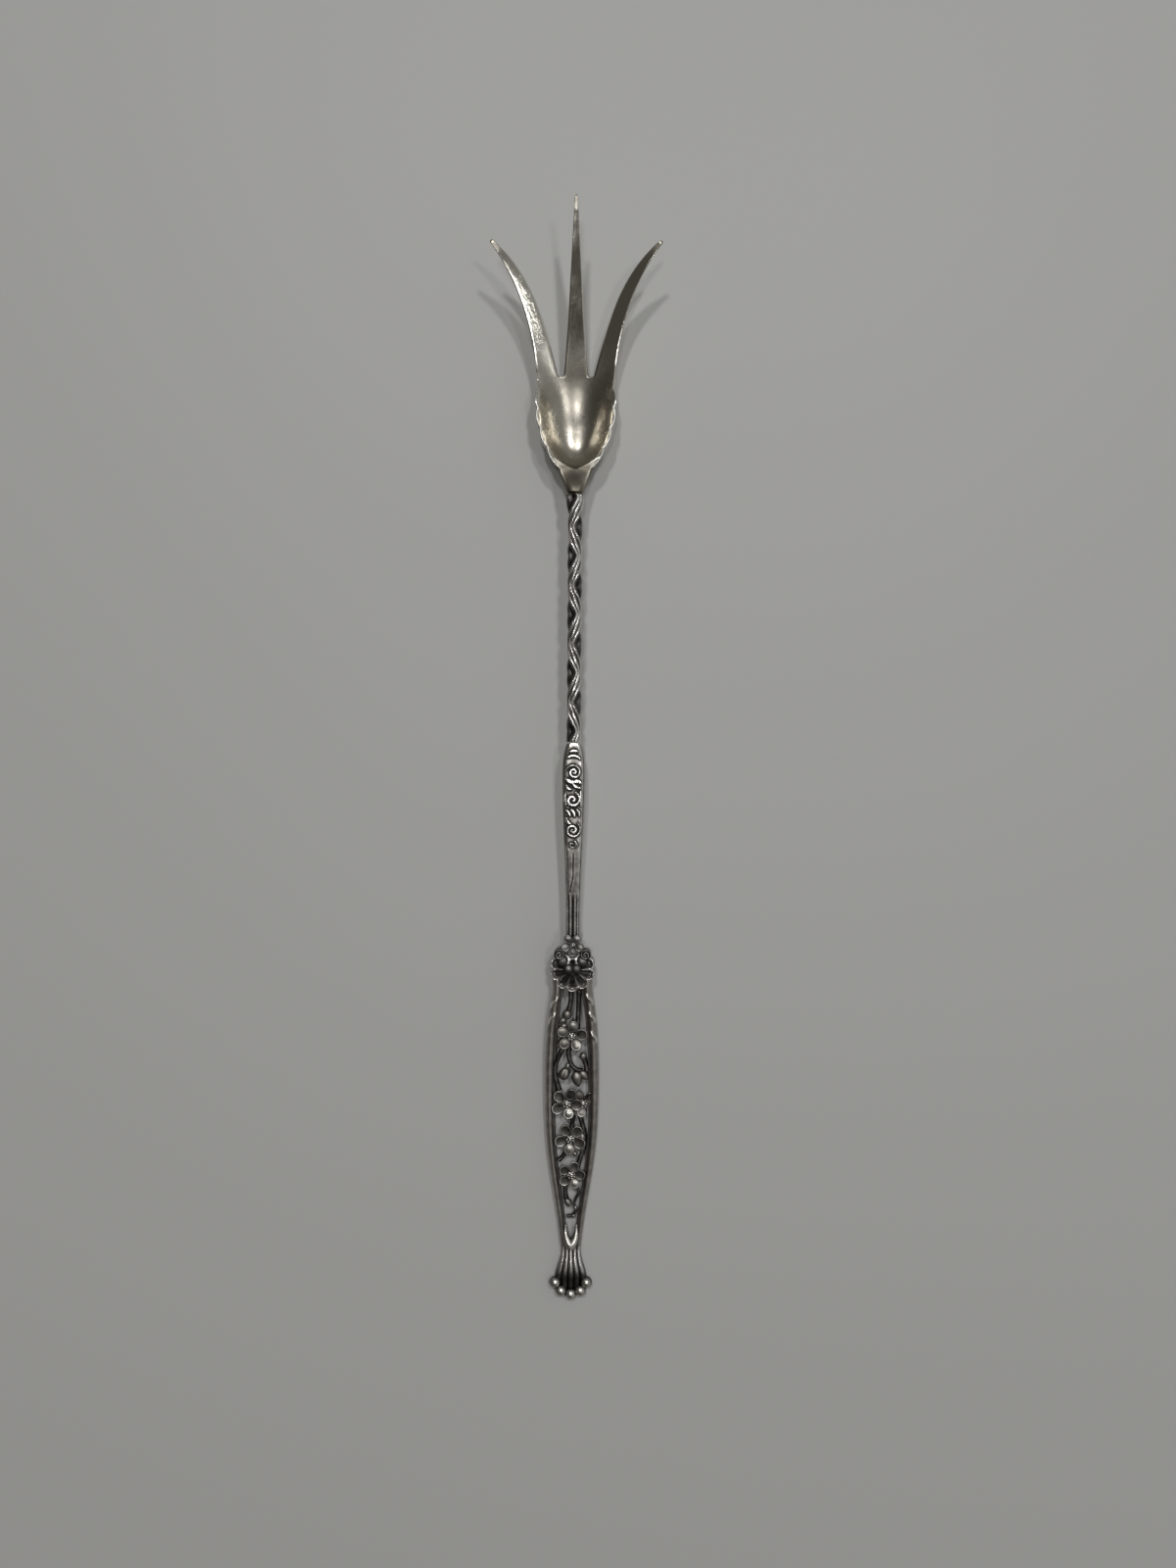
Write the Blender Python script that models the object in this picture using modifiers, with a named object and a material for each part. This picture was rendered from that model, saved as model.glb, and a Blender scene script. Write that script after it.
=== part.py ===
"""Silver lettuce fork lying on its back: tines towards +Y, front up, resting at z = 0.

A scalloped bowl with three tines is soldered to a twisted bar. Below the bar come a chased
panel, a shell boss, and a frame of two bowed rails filled with blossoms, buds and vine wires.
A ribbed fan with five beads ends the handle.
"""

import math

import bmesh
import bpy
from mathutils import Vector

MM = 0.001
SOLDER_GAP = 0.3 * MM
WELD = 0.002 * MM

# Lengths along the fork
FAN_LENGTH = 6.9 * MM
OPENWORK_LENGTH = 54.3 * MM
PANEL_LENGTH = 43.4 * MM
SHANK_LENGTH = 51.8 * MM
NECK_LENGTH = 5.6 * MM
BOWL_LENGTH = 20.3 * MM
MIDDLE_TINE_LENGTH = 33.3 * MM
SIDE_TINE_LENGTH = 24.9 * MM

# Lazy rise of the handle's back from the fan to the bowl
ARCH_RISE = 5.6 * MM
ARCH_EASE = 1.5

# Bowl
BOWL_HALF_WIDTH = 7.95 * MM
BOWL_FRONT_HALF_WIDTH = 8.1 * MM
BOWL_WIDEST_BEFORE_FRONT = 6.3 * MM
BOWL_APEX_PAST_HEEL = 4.2 * MM
BOWL_TAPER = 2.1
BOWL_GAUGE = 1.15 * MM
RIM_GAUGE = 0.55 * MM
RIM_HEIGHT = 6.5 * MM
REST_FLAT_DEPTH = 0.12 * MM
TABLE_SLAB_DEPTH = 4.0 * MM
HEEL_RUN = 9.4 * MM
HEEL_STEEPNESS = 4
BOWL_LENGTHWISE_RADIUS = 42.0 * MM
SIDE_STEEPNESS = 2.6
SCALLOPS = 4
SCALLOP_DEPTH = 0.5 * MM
RIM_CURL = 14
SCALLOP_END_BEFORE_FRONT = 3.6 * MM
BOWL_STEPS = 24
HEEL_CROWDING = 1.2

# Neck between the bowl and the twisted bar, in rows from the bar (0) to the bowl (1)
NECK_COLLAR_SHARE = 0.12
NECK_FLARE = 1.2
NECK_ROWS = (0.0, NECK_COLLAR_SHARE, 0.4, 0.6, 0.8)

# Tines
NOTCH_WIDTH = 1.1 * MM
MIDDLE_TINE_ROOT = 5.2 * MM
TINE_TIP_WIDTH = 0.7 * MM
TINE_ROOT_GAUGE = 1.5 * MM
TINE_TIP_GAUGE = 0.8 * MM
TINE_EDGE_SHARE = 0.55
TINE_SLOPE = 0.22
MIDDLE_TIP_LIFT = 4.3 * MM
SIDE_TIP_LIFT = 2.6 * MM
SIDE_TINE_LEAN = 5.9 * MM
SIDE_TINE_FLARE = 5.8 * MM
SIDE_TINE_BEND = 3.6
SIDE_TINE_TAPER = 0.57
SIDE_TINE_POINT = 6
TINE_STEPS = 11

# Twisted bar
SHANK_WIDTH = 2.5 * MM
SHANK_SWING = math.radians(69)
SHANK_FACE_TILT = math.radians(35)
SHANK_FIRST_BEND = 13.0 * MM
SHANK_BEND_SPACING = 6.1 * MM
SHANK_BEND_SHARPNESS = 0.97
SHANK_SQUARENESS = 4.5
SHANK_SIDES = 12
SHANK_STEPS = 68

# Chased panel
PANEL_HEIGHT = 2.5 * MM
PANEL_FOOT_WIDTH = 2.8 * MM
PANEL_WIDEST = 4.3 * MM
PANEL_NARROW_END = 0.16
PANEL_WIDEST_AT = 0.83
PANEL_ROUNDNESS = 0.7
PANEL_STEPS = 26
PANEL_SIDES = 16

# Shell boss
BOSS_RADIUS = 5.0 * MM
BOSS_EDGE_HEIGHT = 1.9 * MM
BOSS_DOME = 1.1 * MM
BOSS_CROWN = 4.3 * MM
BOSS_LOBES = 7
BOSS_LOBE_ANGLE = math.radians(37)
BOSS_LOBE_FULLNESS = 0.6
BOSS_VOLUTE_AT = 0.45
BOSS_NOTCH_DEPTH = 0.55 * MM
BOSS_FLUTE_DEPTH = 0.6 * MM
BOSS_SHARES = (1.0, 0.9, 0.72, 0.5, 0.28, 0.1)

# Openwork frame
RAIL_HEAD_HALF_WIDTH = 4.2 * MM
RAIL_WIDEST_HALF_WIDTH = 5.7 * MM
RAIL_FOOT_HALF_WIDTH = 2.2 * MM
RAIL_WIDEST_AT = 0.36
RAIL_HEAD_EASE = 2.5
RAIL_WAIST_EASE = 2.4
RAIL_WIDTH = 2.1 * MM
RAIL_FOOT_WIDTH = 1.45 * MM
RAIL_HEIGHT = 2.1 * MM
RAIL_TAPER_START = 0.3
RAIL_CROWN = 0.8
RAIL_OVERRUN = 0.06
RAIL_SIDES = 8
RAIL_STEPS = 34

# Vine wires, blossoms and buds
STEM_RADIUS = 0.42 * MM
STEM_LIFT = 0.3 * MM
BLOSSOM_REACH = 2.8 * MM
PETAL_LENGTH = 2.3 * MM
PETAL_WIDTH = 2.1 * MM
PETAL_THICKNESS = 1.1 * MM
PETAL_DISH = 1.15
PETAL_ROLL = math.radians(9)
HUB_RADIUS = 1.0 * MM
STAMEN_RADIUS = 0.36 * MM
STAMENS = 5
STAMEN_RING_SHARE = 0.7
STAMEN_TURN = 0.3
STAMEN_LEVEL = 1.0 * MM
HUB_HALF_HEIGHT = 0.6 * MM
BOSS_BLOSSOM_REACH = 2.4 * MM
BOSS_BLOSSOM_LEAD = 1.0 * MM
BOSS_BLOSSOM_TURN = math.radians(54)
HALF_BLOSSOM_REACH = 2.3 * MM
HALF_BLOSSOM_HUB = 0.8 * MM
HALF_BLOSSOM_PETALS = [math.radians(angle) for angle in (118, 188, 256)]

# Strap, fan and beads at the handle end
COLLAR_WIRE_RADIUS = 0.5 * MM
COLLAR_LENGTH = 4.2 * MM
COLLAR_BEND_SHARE = 0.55
COLLAR_BEND_SPREAD = 0.8
FAN_FLARE_WIDTH = 6.6 * MM
FAN_HEIGHT = 1.9 * MM
FAN_RIB_HEIGHT = 0.35 * MM
FAN_RIBS = 5
FAN_SIDE_FALL = 0.35
FAN_WIDEST_AT = 0.77
FAN_END_TUCK = 0.5 * MM
FAN_STEPS = 8
BEAD_RADIUS = 1.2 * MM
BEAD_ARC_RADIUS = 3.55 * MM
BEAD_STEP = math.radians(36)

# Stations from the handle end upwards, centred on the middle of the fork
TOTAL_LENGTH = (
    BEAD_RADIUS + BEAD_ARC_RADIUS + FAN_LENGTH + OPENWORK_LENGTH + BOSS_RADIUS + BOSS_CROWN
    + PANEL_LENGTH + SHANK_LENGTH + NECK_LENGTH + BOWL_LENGTH + MIDDLE_TINE_LENGTH + 4 * SOLDER_GAP
)
HANDLE_END = -TOTAL_LENGTH / 2
BEAD_ARC_CENTRE = HANDLE_END + BEAD_RADIUS + BEAD_ARC_RADIUS
FAN_TOP = BEAD_ARC_CENTRE + FAN_LENGTH
RAIL_FOOT = FAN_TOP + SOLDER_GAP
RAIL_HEAD = RAIL_FOOT + OPENWORK_LENGTH
BOSS_CENTRE = RAIL_HEAD + BOSS_RADIUS
PANEL_FOOT = BOSS_CENTRE + BOSS_CROWN + SOLDER_GAP
PANEL_HEAD = PANEL_FOOT + PANEL_LENGTH
SHANK_FOOT = PANEL_HEAD + SOLDER_GAP
SHANK_HEAD = SHANK_FOOT + SHANK_LENGTH
NECK_FOOT = SHANK_HEAD + SOLDER_GAP
BOWL_HEEL = NECK_FOOT + NECK_LENGTH
TINE_ROOT = BOWL_HEEL + BOWL_LENGTH

STEM_AXIS = STEM_LIFT + STEM_RADIUS
BLOSSOM_BASE = STEM_AXIS + STEM_RADIUS + SOLDER_GAP

# The four blossoms of the opening: share of its length from the boss, side offset, turn
BLOSSOM_PLACES = (
    (0.167, -0.1 * MM, 85),
    (0.432, -0.55 * MM, 66),
    (0.576, -0.2 * MM, 55),
    (0.718, 0.1 * MM, 72),
)

# Vine wires as (share of the opening's length, share of the free half-width) from end to end,
# and their buds and leaves as (share of the length, share of the half-width, half-sizes across,
# along and upright)
SPRIGS = {
    "crown_stem": (((-0.02, 0.75), (0.06, 0.56), (0.13, 0.5)), ()),
    "upper_bud": (
        ((-0.02, -0.05), (0.04, -0.2), (0.075, -0.45)),
        ((0.083, -0.5, 1.0 * MM, 1.0 * MM, 0.9 * MM),),
    ),
    "left_stem": (((0.2, -0.95), (0.26, -1.0), (0.31, -1.0), (0.35, -0.98), (0.39, -0.8)), ()),
    "bud_branch": (
        ((0.225, -0.32), (0.26, -0.33), (0.288, -0.05), (0.305, 0.3), (0.318, 0.6)),
        (
            (0.318, -0.45, 0.95 * MM, 1.3 * MM, 0.9 * MM),
            (0.293, -0.3, 0.55 * MM, 0.6 * MM, 0.6 * MM),
            (0.342, 0.48, 0.75 * MM, 1.5 * MM, 0.8 * MM),
            (0.328, 0.82, 0.75 * MM, 0.9 * MM, 0.8 * MM),
        ),
    ),
    "side_bud": (
        ((0.25, 0.9), (0.272, 0.97), (0.285, 0.95)),
        ((0.248, 0.85, 0.75 * MM, 0.75 * MM, 0.75 * MM),),
    ),
    "middle_stem": (((0.475, 0.05), (0.515, 0.08), (0.545, 0.06)), ()),
    "right_stem": (
        ((0.505, 0.72), (0.535, 0.95), (0.57, 1.0), (0.61, 1.0), (0.65, 0.9), (0.69, 0.7)),
        ((0.568, 0.88, 0.7 * MM, 1.0 * MM, STEM_RADIUS),),
    ),
    "left_tie": (((0.63, -0.55), (0.645, -0.8), (0.66, -1.0)), ()),
    "tail_bud": (
        ((0.755, -0.75), (0.79, -0.75), (0.81, -0.55)),
        ((0.82, -0.6, 0.75 * MM, 0.85 * MM, 0.75 * MM),),
    ),
    "tail_stem": (
        ((0.765, 0.85), (0.8, 1.0), (0.84, 1.0), (0.87, 0.7), (0.9, -0.3), (0.915, -0.8)),
        ((0.877, 0.5, 0.5 * MM, 0.6 * MM, 0.55 * MM),),
    ),
}

for existing in list(bpy.data.objects):
    bpy.data.objects.remove(existing, do_unlink=True)

parts = bpy.data.collections.new("lettuce_fork")
cutters = bpy.data.collections.new("cutters")
bpy.context.scene.collection.children.link(parts)
bpy.context.scene.collection.children.link(cutters)
root = bpy.data.objects.new("fork_root", None)
parts.objects.link(root)


def silver(name, colour, roughness):
    """Metal finish of one kind of piece."""
    material = bpy.data.materials.new(name)
    material.use_nodes = True
    shader = material.node_tree.nodes["Principled BSDF"]
    shader.inputs["Base Color"].default_value = (*colour, 1.0)
    shader.inputs["Metallic"].default_value = 1.0
    shader.inputs["Roughness"].default_value = roughness
    return material


POLISHED = silver("polished_silver", (0.80, 0.78, 0.74), 0.16)
CHASED = silver("chased_silver", (0.62, 0.61, 0.60), 0.26)
RELIEF = silver("relief_silver", (0.52, 0.52, 0.52), 0.30)
OXIDISED = silver("oxidised_silver", (0.38, 0.38, 0.39), 0.38)
BRIGHT = silver("bright_silver", (0.70, 0.69, 0.67), 0.24)


def spine(y):
    """Height of the handle's back above the table."""
    share = min(max((y - FAN_TOP) / (SHANK_HEAD - FAN_TOP), 0.0), 1.0)
    return ARCH_RISE * math.sin(math.pi / 2 * share) ** ARCH_EASE


def spine_tilt(y):
    """Slope angle of the handle's back."""
    step = 1.0 * MM
    return math.atan2(spine(y + step) - spine(y - step), 2 * step)


def blend(start, end, share):
    """Value between two values."""
    return start + (end - start) * share


def smooth(share):
    """Eased share between 0 and 1."""
    share = min(max(share, 0.0), 1.0)
    return share * share * (3 - 2 * share)


def add_part(name, mesh, material):
    """Named piece of the fork with its own finish."""
    part = bpy.data.objects.new(name, mesh)
    part.data.materials.clear()
    part.data.materials.append(material)
    part.parent = root
    parts.objects.link(part)
    return part


def mesh_from(name, build, closed=True):
    """Mesh filled in by a function that draws into an empty bmesh; an open sheet keeps its own front."""
    mesh = bpy.data.meshes.new(name)
    draft = bmesh.new()
    build(draft)
    if closed:
        bmesh.ops.recalc_face_normals(draft, faces=draft.faces)
    for face in draft.faces:
        face.smooth = True
    draft.to_mesh(mesh)
    draft.free()
    return mesh


def loft(draft, rings):
    """Closed skin through rings of equal length, capped at both ends."""
    loops = [[draft.verts.new(point) for point in ring] for ring in rings]
    for near, far in zip(loops, loops[1:]):
        for index in range(len(near)):
            after = (index + 1) % len(near)
            draft.faces.new((near[index], near[after], far[after], far[index]))
    draft.faces.new(loops[0])
    draft.faces.new(loops[-1])


def as_cutter(cutter):
    """Helper body that only shapes its neighbours."""
    for collection in list(cutter.users_collection):
        collection.objects.unlink(cutter)
    cutters.objects.link(cutter)
    cutter.hide_render = True
    cutter.display_type = "WIRE"
    return cutter


def combine(part, other, operation):
    """Boolean of a piece with another body."""
    modifier = part.modifiers.new(operation.lower() + "_" + other.name, "BOOLEAN")
    modifier.operation = operation
    modifier.solver = "EXACT"
    modifier.object = other


def bake(source, name):
    """Mesh of an object as its modifiers or curve settings leave it, with its caps welded."""
    bpy.context.view_layer.update()
    evaluated = source.evaluated_get(bpy.context.evaluated_depsgraph_get())
    mesh = bpy.data.meshes.new_from_object(evaluated)
    mesh.name = name
    draft = bmesh.new()
    draft.from_mesh(mesh)
    bmesh.ops.remove_doubles(draft, verts=draft.verts, dist=WELD)
    bmesh.ops.recalc_face_normals(draft, faces=draft.faces)
    for face in draft.faces:
        face.smooth = True
    draft.to_mesh(mesh)
    draft.free()
    bpy.data.objects.remove(source, do_unlink=True)
    return mesh


def ellipsoid(name, centre, radii, segments=9, rings=5):
    """Round body with three radii."""
    bpy.ops.mesh.primitive_uv_sphere_add(segments=segments, ring_count=rings, radius=1.0)
    body = bpy.context.active_object
    body.name = name
    body.scale = radii
    bpy.ops.object.transform_apply(location=False, rotation=False, scale=True)
    body.location = centre
    return as_cutter(body)


def tube(name, points, radius):
    """Round wire along a smooth path, as a mesh."""
    curve = bpy.data.curves.new(name, "CURVE")
    curve.dimensions = "3D"
    curve.bevel_depth = radius
    curve.bevel_resolution = 1
    curve.resolution_u = 4
    curve.use_fill_caps = True
    spline = curve.splines.new("BEZIER")
    spline.bezier_points.add(len(points) - 1)
    for knot, point in zip(spline.bezier_points, points):
        knot.co = point
        knot.handle_left_type = "AUTO"
        knot.handle_right_type = "AUTO"
    wire = bpy.data.objects.new(name, curve)
    bpy.context.scene.collection.objects.link(wire)
    return bake(wire, name)


# Bowl, tines and neck

NOTCH_OUTER = (MIDDLE_TINE_ROOT / 2 + NOTCH_WIDTH) / BOWL_FRONT_HALF_WIDTH
NOTCH_INNER = MIDDLE_TINE_ROOT / 2 / BOWL_FRONT_HALF_WIDTH
SIDE_SHARES = [blend(NOTCH_OUTER, 1.0, step / 3) for step in range(4)]
MIDDLE_SHARES = [blend(-NOTCH_INNER, NOTCH_INNER, step / 4) for step in range(5)]
COLUMNS = [-share for share in reversed(SIDE_SHARES)] + MIDDLE_SHARES + SIDE_SHARES
BOWL_FLOOR = BOWL_GAUGE - REST_FLAT_DEPTH
BOWL_LOWEST = BOWL_HEEL + HEEL_RUN
BOWL_WIDEST = TINE_ROOT - BOWL_WIDEST_BEFORE_FRONT
NECK_TOP = ARCH_RISE + SHANK_WIDTH


def bowl_half_width(y):
    """Half-width of the bowl without its scallops."""
    if y > BOWL_WIDEST:
        share = (y - BOWL_WIDEST) / BOWL_WIDEST_BEFORE_FRONT
        width = blend(BOWL_HALF_WIDTH, BOWL_FRONT_HALF_WIDTH, share ** 2)
    else:
        share = (BOWL_WIDEST - y) / (BOWL_WIDEST - BOWL_HEEL + BOWL_APEX_PAST_HEEL)
        width = BOWL_HALF_WIDTH * (1 - share ** BOWL_TAPER)
    return width


def scallop(y):
    """How far the rim's edge stands out of the plain bowl, lobe by lobe."""
    run = (y - BOWL_HEEL) / (BOWL_LENGTH - SCALLOP_END_BEFORE_FRONT)
    if run <= 0 or run >= 1:
        return 0.0
    return SCALLOP_DEPTH * math.sqrt(abs(math.sin(math.pi * SCALLOPS * run)))


def bowl_floor(y):
    """Height of the inside along the middle of the bowl."""
    if y < BOWL_LOWEST:
        share = (BOWL_LOWEST - y) / HEEL_RUN
        return BOWL_FLOOR + (RIM_HEIGHT - BOWL_FLOOR) * share ** HEEL_STEEPNESS
    return BOWL_FLOOR + (y - BOWL_LOWEST) ** 2 / (2 * BOWL_LENGTHWISE_RADIUS)


def bowl_point(share, y):
    """Point of the bowl's inside at a share of its half-width."""
    floor = bowl_floor(y)
    height = floor + (RIM_HEIGHT - floor) * abs(share) ** SIDE_STEEPNESS
    across = share * bowl_half_width(y) + math.copysign(scallop(y) * abs(share) ** RIM_CURL, share)
    return Vector((across, y, height))


def neck_point(share, run):
    """Point of the neck's top from the bar (0) to the bowl's heel (1)."""
    fall = (run - NECK_COLLAR_SHARE) / (1 - NECK_COLLAR_SHARE)
    width = blend(SHANK_WIDTH / 2, bowl_half_width(BOWL_HEEL), max(fall, 0.0) ** NECK_FLARE)
    height = blend(NECK_TOP, RIM_HEIGHT, smooth(fall))
    return Vector((share * width, blend(NECK_FOOT, BOWL_HEEL, run), height))


def tine_row(shares, roots, run, side):
    """Points across one tine at a share of its length; side is -1, 0 or 1."""
    centre_height = sum(point.z for point in roots) / len(roots)
    half_root = (roots[-1].x - roots[0].x) / 2
    if side:
        bend = SIDE_TINE_FLARE * run ** SIDE_TINE_BEND
        across = side * (SIDE_TINE_LEAN * run + bend)
        slope = side * (SIDE_TINE_LEAN + SIDE_TINE_BEND * bend / run) / SIDE_TINE_LENGTH
        taper = blend(run ** SIDE_TINE_POINT, run, SIDE_TINE_TAPER)
        length, lift = SIDE_TINE_LENGTH, SIDE_TIP_LIFT
    else:
        across, slope, taper = 0.0, 0.0, run
        length, lift = MIDDLE_TINE_LENGTH, MIDDLE_TIP_LIFT
    half_width = blend(half_root, TINE_TIP_WIDTH / 2, taper)
    middle_x = (roots[0].x + roots[-1].x) / 2 + across
    angle = math.atan(slope)
    points = []
    for share, point in zip(shares, roots):
        reach = share * half_width
        height = centre_height + (point.z - centre_height) * (1 - run) ** 2
        height += TINE_SLOPE * length * run + lift * run ** 2
        x = middle_x + reach * math.cos(angle)
        y = TINE_ROOT + length * run - reach * math.sin(angle)
        points.append(Vector((x, y, height)))
    return points


def build_head(draft):
    """Sheet of the neck, bowl and tines, with each corner's gauge in a weight layer."""
    gauge_layer = draft.verts.layers.deform.verify()

    def row(points, shares, gauge, edge_gauge):
        corners = []
        for point, share in zip(points, shares):
            corner = draft.verts.new(point)
            corner[gauge_layer][0] = blend(gauge, edge_gauge, share ** 4) / SHANK_WIDTH
            corners.append(corner)
        return corners

    def strip(near, far):
        for index in range(len(near) - 1):
            draft.faces.new((near[index], near[index + 1], far[index + 1], far[index]))

    rows = []
    for run in NECK_ROWS:
        gauge = blend(SHANK_WIDTH, TINE_ROOT_GAUGE, run)
        edge_gauge = blend(SHANK_WIDTH, RIM_GAUGE, run)
        rows.append(row([neck_point(share, run) for share in COLUMNS], COLUMNS, gauge, edge_gauge))
    for step in range(BOWL_STEPS + 1):
        run = (step / BOWL_STEPS) ** HEEL_CROWDING
        gauge = blend(TINE_ROOT_GAUGE, BOWL_GAUGE, smooth(4 * run))
        gauge = blend(gauge, TINE_ROOT_GAUGE, smooth(4 * run - 3))
        y = blend(BOWL_HEEL, TINE_ROOT, run)
        rows.append(row([bowl_point(share, y) for share in COLUMNS], COLUMNS, gauge, RIM_GAUGE))
    for near, far in zip(rows, rows[1:]):
        strip(near, far)

    for side, columns in ((-1, range(0, 4)), (0, range(4, 9)), (1, range(9, 13))):
        last = [rows[-1][column] for column in columns]
        roots = [corner.co.copy() for corner in last]
        shares = [blend(-1.0, 1.0, index / (len(last) - 1)) for index in range(len(last))]
        for step in range(1, TINE_STEPS + 1):
            run = step / TINE_STEPS
            gauge = blend(TINE_ROOT_GAUGE, TINE_TIP_GAUGE, run)
            following = row(tine_row(shares, roots, run, side), shares, gauge, gauge * TINE_EDGE_SHARE)
            strip(last, following)
            last = following


def build_fork_head():
    """Bowl, tines and neck, ground flat where the bowl rests."""
    head = add_part("fork_head", mesh_from("fork_head", build_head, closed=False), POLISHED)
    head.vertex_groups.new(name="gauge")
    thickness = head.modifiers.new("gauge", "SOLIDIFY")
    thickness.thickness = SHANK_WIDTH
    thickness.offset = -1.0
    thickness.vertex_group = "gauge"
    bpy.ops.mesh.primitive_cube_add(size=1.0, location=(0, BOWL_LOWEST, -TABLE_SLAB_DEPTH / 2))
    slab = as_cutter(bpy.context.active_object)
    slab.name = "table_slab"
    slab.scale = (4 * BOWL_HALF_WIDTH, 2 * BOWL_LENGTH, TABLE_SLAB_DEPTH)
    combine(head, slab, "DIFFERENCE")


# Twisted bar and chased panel


def shank_turn(y):
    """Turn of the bar about its length, which swings to and fro."""
    wave = math.cos(math.pi * (SHANK_HEAD - SHANK_FIRST_BEND - y) / SHANK_BEND_SPACING)
    return SHANK_SWING * math.asin(SHANK_BEND_SHARPNESS * wave) / math.asin(SHANK_BEND_SHARPNESS)


def build_shank(draft):
    """Square bar with softened corners, twisted to and fro along its length."""
    rings = []
    for step in range(SHANK_STEPS + 1):
        run = step / SHANK_STEPS
        y = blend(SHANK_FOOT, SHANK_HEAD, run)
        turn = SHANK_FACE_TILT + shank_turn(y)
        ring = []
        for side in range(SHANK_SIDES):
            angle = 2 * math.pi * side / SHANK_SIDES
            flatness = abs(math.cos(angle)) ** SHANK_SQUARENESS + abs(math.sin(angle)) ** SHANK_SQUARENESS
            radius = SHANK_WIDTH / 2 * flatness ** (-1 / SHANK_SQUARENESS)
            x = radius * math.sin(angle + turn)
            z = spine(y) + SHANK_WIDTH / 2 + radius * math.cos(angle + turn)
            ring.append((x, y, z))
        rings.append(ring)
    loft(draft, rings)


def panel_half_width(run):
    """Half-width of the panel from its foot (0) to its head (1)."""
    if run > PANEL_WIDEST_AT:
        share = (run - PANEL_WIDEST_AT) / (1 - PANEL_WIDEST_AT)
        return blend(PANEL_WIDEST, PANEL_FOOT_WIDTH, share ** 2) / 2
    share = (run - PANEL_NARROW_END) / (PANEL_WIDEST_AT - PANEL_NARROW_END)
    return blend(PANEL_FOOT_WIDTH, PANEL_WIDEST, smooth(share)) / 2


def build_panel(draft):
    """Cushion-sided bar that swells towards the twisted bar."""
    rings = []
    for step in range(PANEL_STEPS + 1):
        run = step / PANEL_STEPS
        y = blend(PANEL_FOOT, PANEL_HEAD, run)
        ring = []
        for side in range(PANEL_SIDES):
            angle = 2 * math.pi * (side + 0.5) / PANEL_SIDES
            across = math.copysign(abs(math.cos(angle)) ** PANEL_ROUNDNESS, math.cos(angle))
            upright = math.copysign(abs(math.sin(angle)) ** PANEL_ROUNDNESS, math.sin(angle))
            z = spine(y) + PANEL_HEIGHT / 2 * (1 + upright)
            ring.append((panel_half_width(run) * across, y, z))
        rings.append(ring)
    loft(draft, rings)


# Shell boss


def boss_radius(angle):
    """Outline of the shell: seven lobes below, two volutes above."""
    from_bottom = (angle + math.pi / 2 + math.pi) % (2 * math.pi) - math.pi
    last_lobe = BOSS_LOBES * BOSS_LOBE_ANGLE / 2
    if abs(from_bottom) < last_lobe:
        phase = math.pi * (from_bottom / BOSS_LOBE_ANGLE + 0.5)
        return BOSS_RADIUS - BOSS_NOTCH_DEPTH * (1 - abs(math.sin(phase)) ** BOSS_LOBE_FULLNESS)
    crown = (abs(from_bottom) - last_lobe) / (math.pi - last_lobe)
    volute = BOSS_RADIUS - BOSS_NOTCH_DEPTH * 2 * abs(crown - BOSS_VOLUTE_AT)
    return min(volute, BOSS_CROWN / max(-math.cos(from_bottom), 0.1))


def boss_height(angle, share):
    """Height of the shell's front above the handle's back."""
    from_bottom = (angle + math.pi / 2 + math.pi) % (2 * math.pi) - math.pi
    height = BOSS_EDGE_HEIGHT + BOSS_DOME * (1 - share ** 6)
    if abs(from_bottom) < BOSS_LOBES * BOSS_LOBE_ANGLE / 2:
        lobe = abs(math.sin(math.pi * (from_bottom / BOSS_LOBE_ANGLE + 0.5)))
        hollow = math.sin(math.pi * share) ** 2
        height -= BOSS_FLUTE_DEPTH * (hollow * lobe + share * (1 - lobe))
    return height


def boss_outline(growth):
    """Points around the shell, in order, grown outwards by a clearance."""
    sides = 8 * BOSS_LOBES
    points = []
    for side in range(sides):
        angle = 2 * math.pi * side / sides - math.pi / 2
        reach = boss_radius(angle) + growth
        points.append((angle, reach * math.cos(angle), BOSS_CENTRE + reach * math.sin(angle)))
    return points


def build_boss(draft):
    """Shell with a flat back and a fluted, domed front."""
    outline = boss_outline(0.0)
    back = [(x, y, spine(y)) for angle, x, y in outline]
    rings = [back]
    for share in BOSS_SHARES:
        points = []
        for angle, x, y in outline:
            px = x * share
            py = blend(BOSS_CENTRE, y, share)
            points.append((px, py, spine(py) + boss_height(angle, share)))
        rings.append(points)
    loft(draft, rings)


def boss_seat():
    """Body that trims whatever meets the shell's edge, with the solder gap left clear."""
    depth = 2 * BOSS_RADIUS
    outline = boss_outline(SOLDER_GAP)
    rings = [[(x, y, spine(BOSS_CENTRE) + level) for angle, x, y in outline] for level in (-depth, depth)]
    mesh = mesh_from("boss_seat", lambda draft: loft(draft, rings))
    seat = bpy.data.objects.new("boss_seat", mesh)
    return as_cutter(seat)


# Openwork frame


def rail_outer(run):
    """Half-width of the frame's outside from the boss (0) to the fan (1)."""
    if run < RAIL_WIDEST_AT:
        share = (RAIL_WIDEST_AT - run) / RAIL_WIDEST_AT
        return blend(RAIL_WIDEST_HALF_WIDTH, RAIL_HEAD_HALF_WIDTH, share ** RAIL_HEAD_EASE)
    share = (run - RAIL_WIDEST_AT) / (1 - RAIL_WIDEST_AT)
    eased = share ** RAIL_WAIST_EASE
    fall = eased / (eased + 1 - share)
    return blend(RAIL_WIDEST_HALF_WIDTH, RAIL_FOOT_HALF_WIDTH, fall)


def rail_width(run):
    """Width of one rail."""
    share = min(max((run - RAIL_TAPER_START) / (1 - RAIL_TAPER_START), 0.0), 1.0)
    return blend(RAIL_WIDTH, RAIL_FOOT_WIDTH, share)


def opening_half_width(run):
    """Half-width of the opening between the rails."""
    return rail_outer(run) - rail_width(run)


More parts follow.
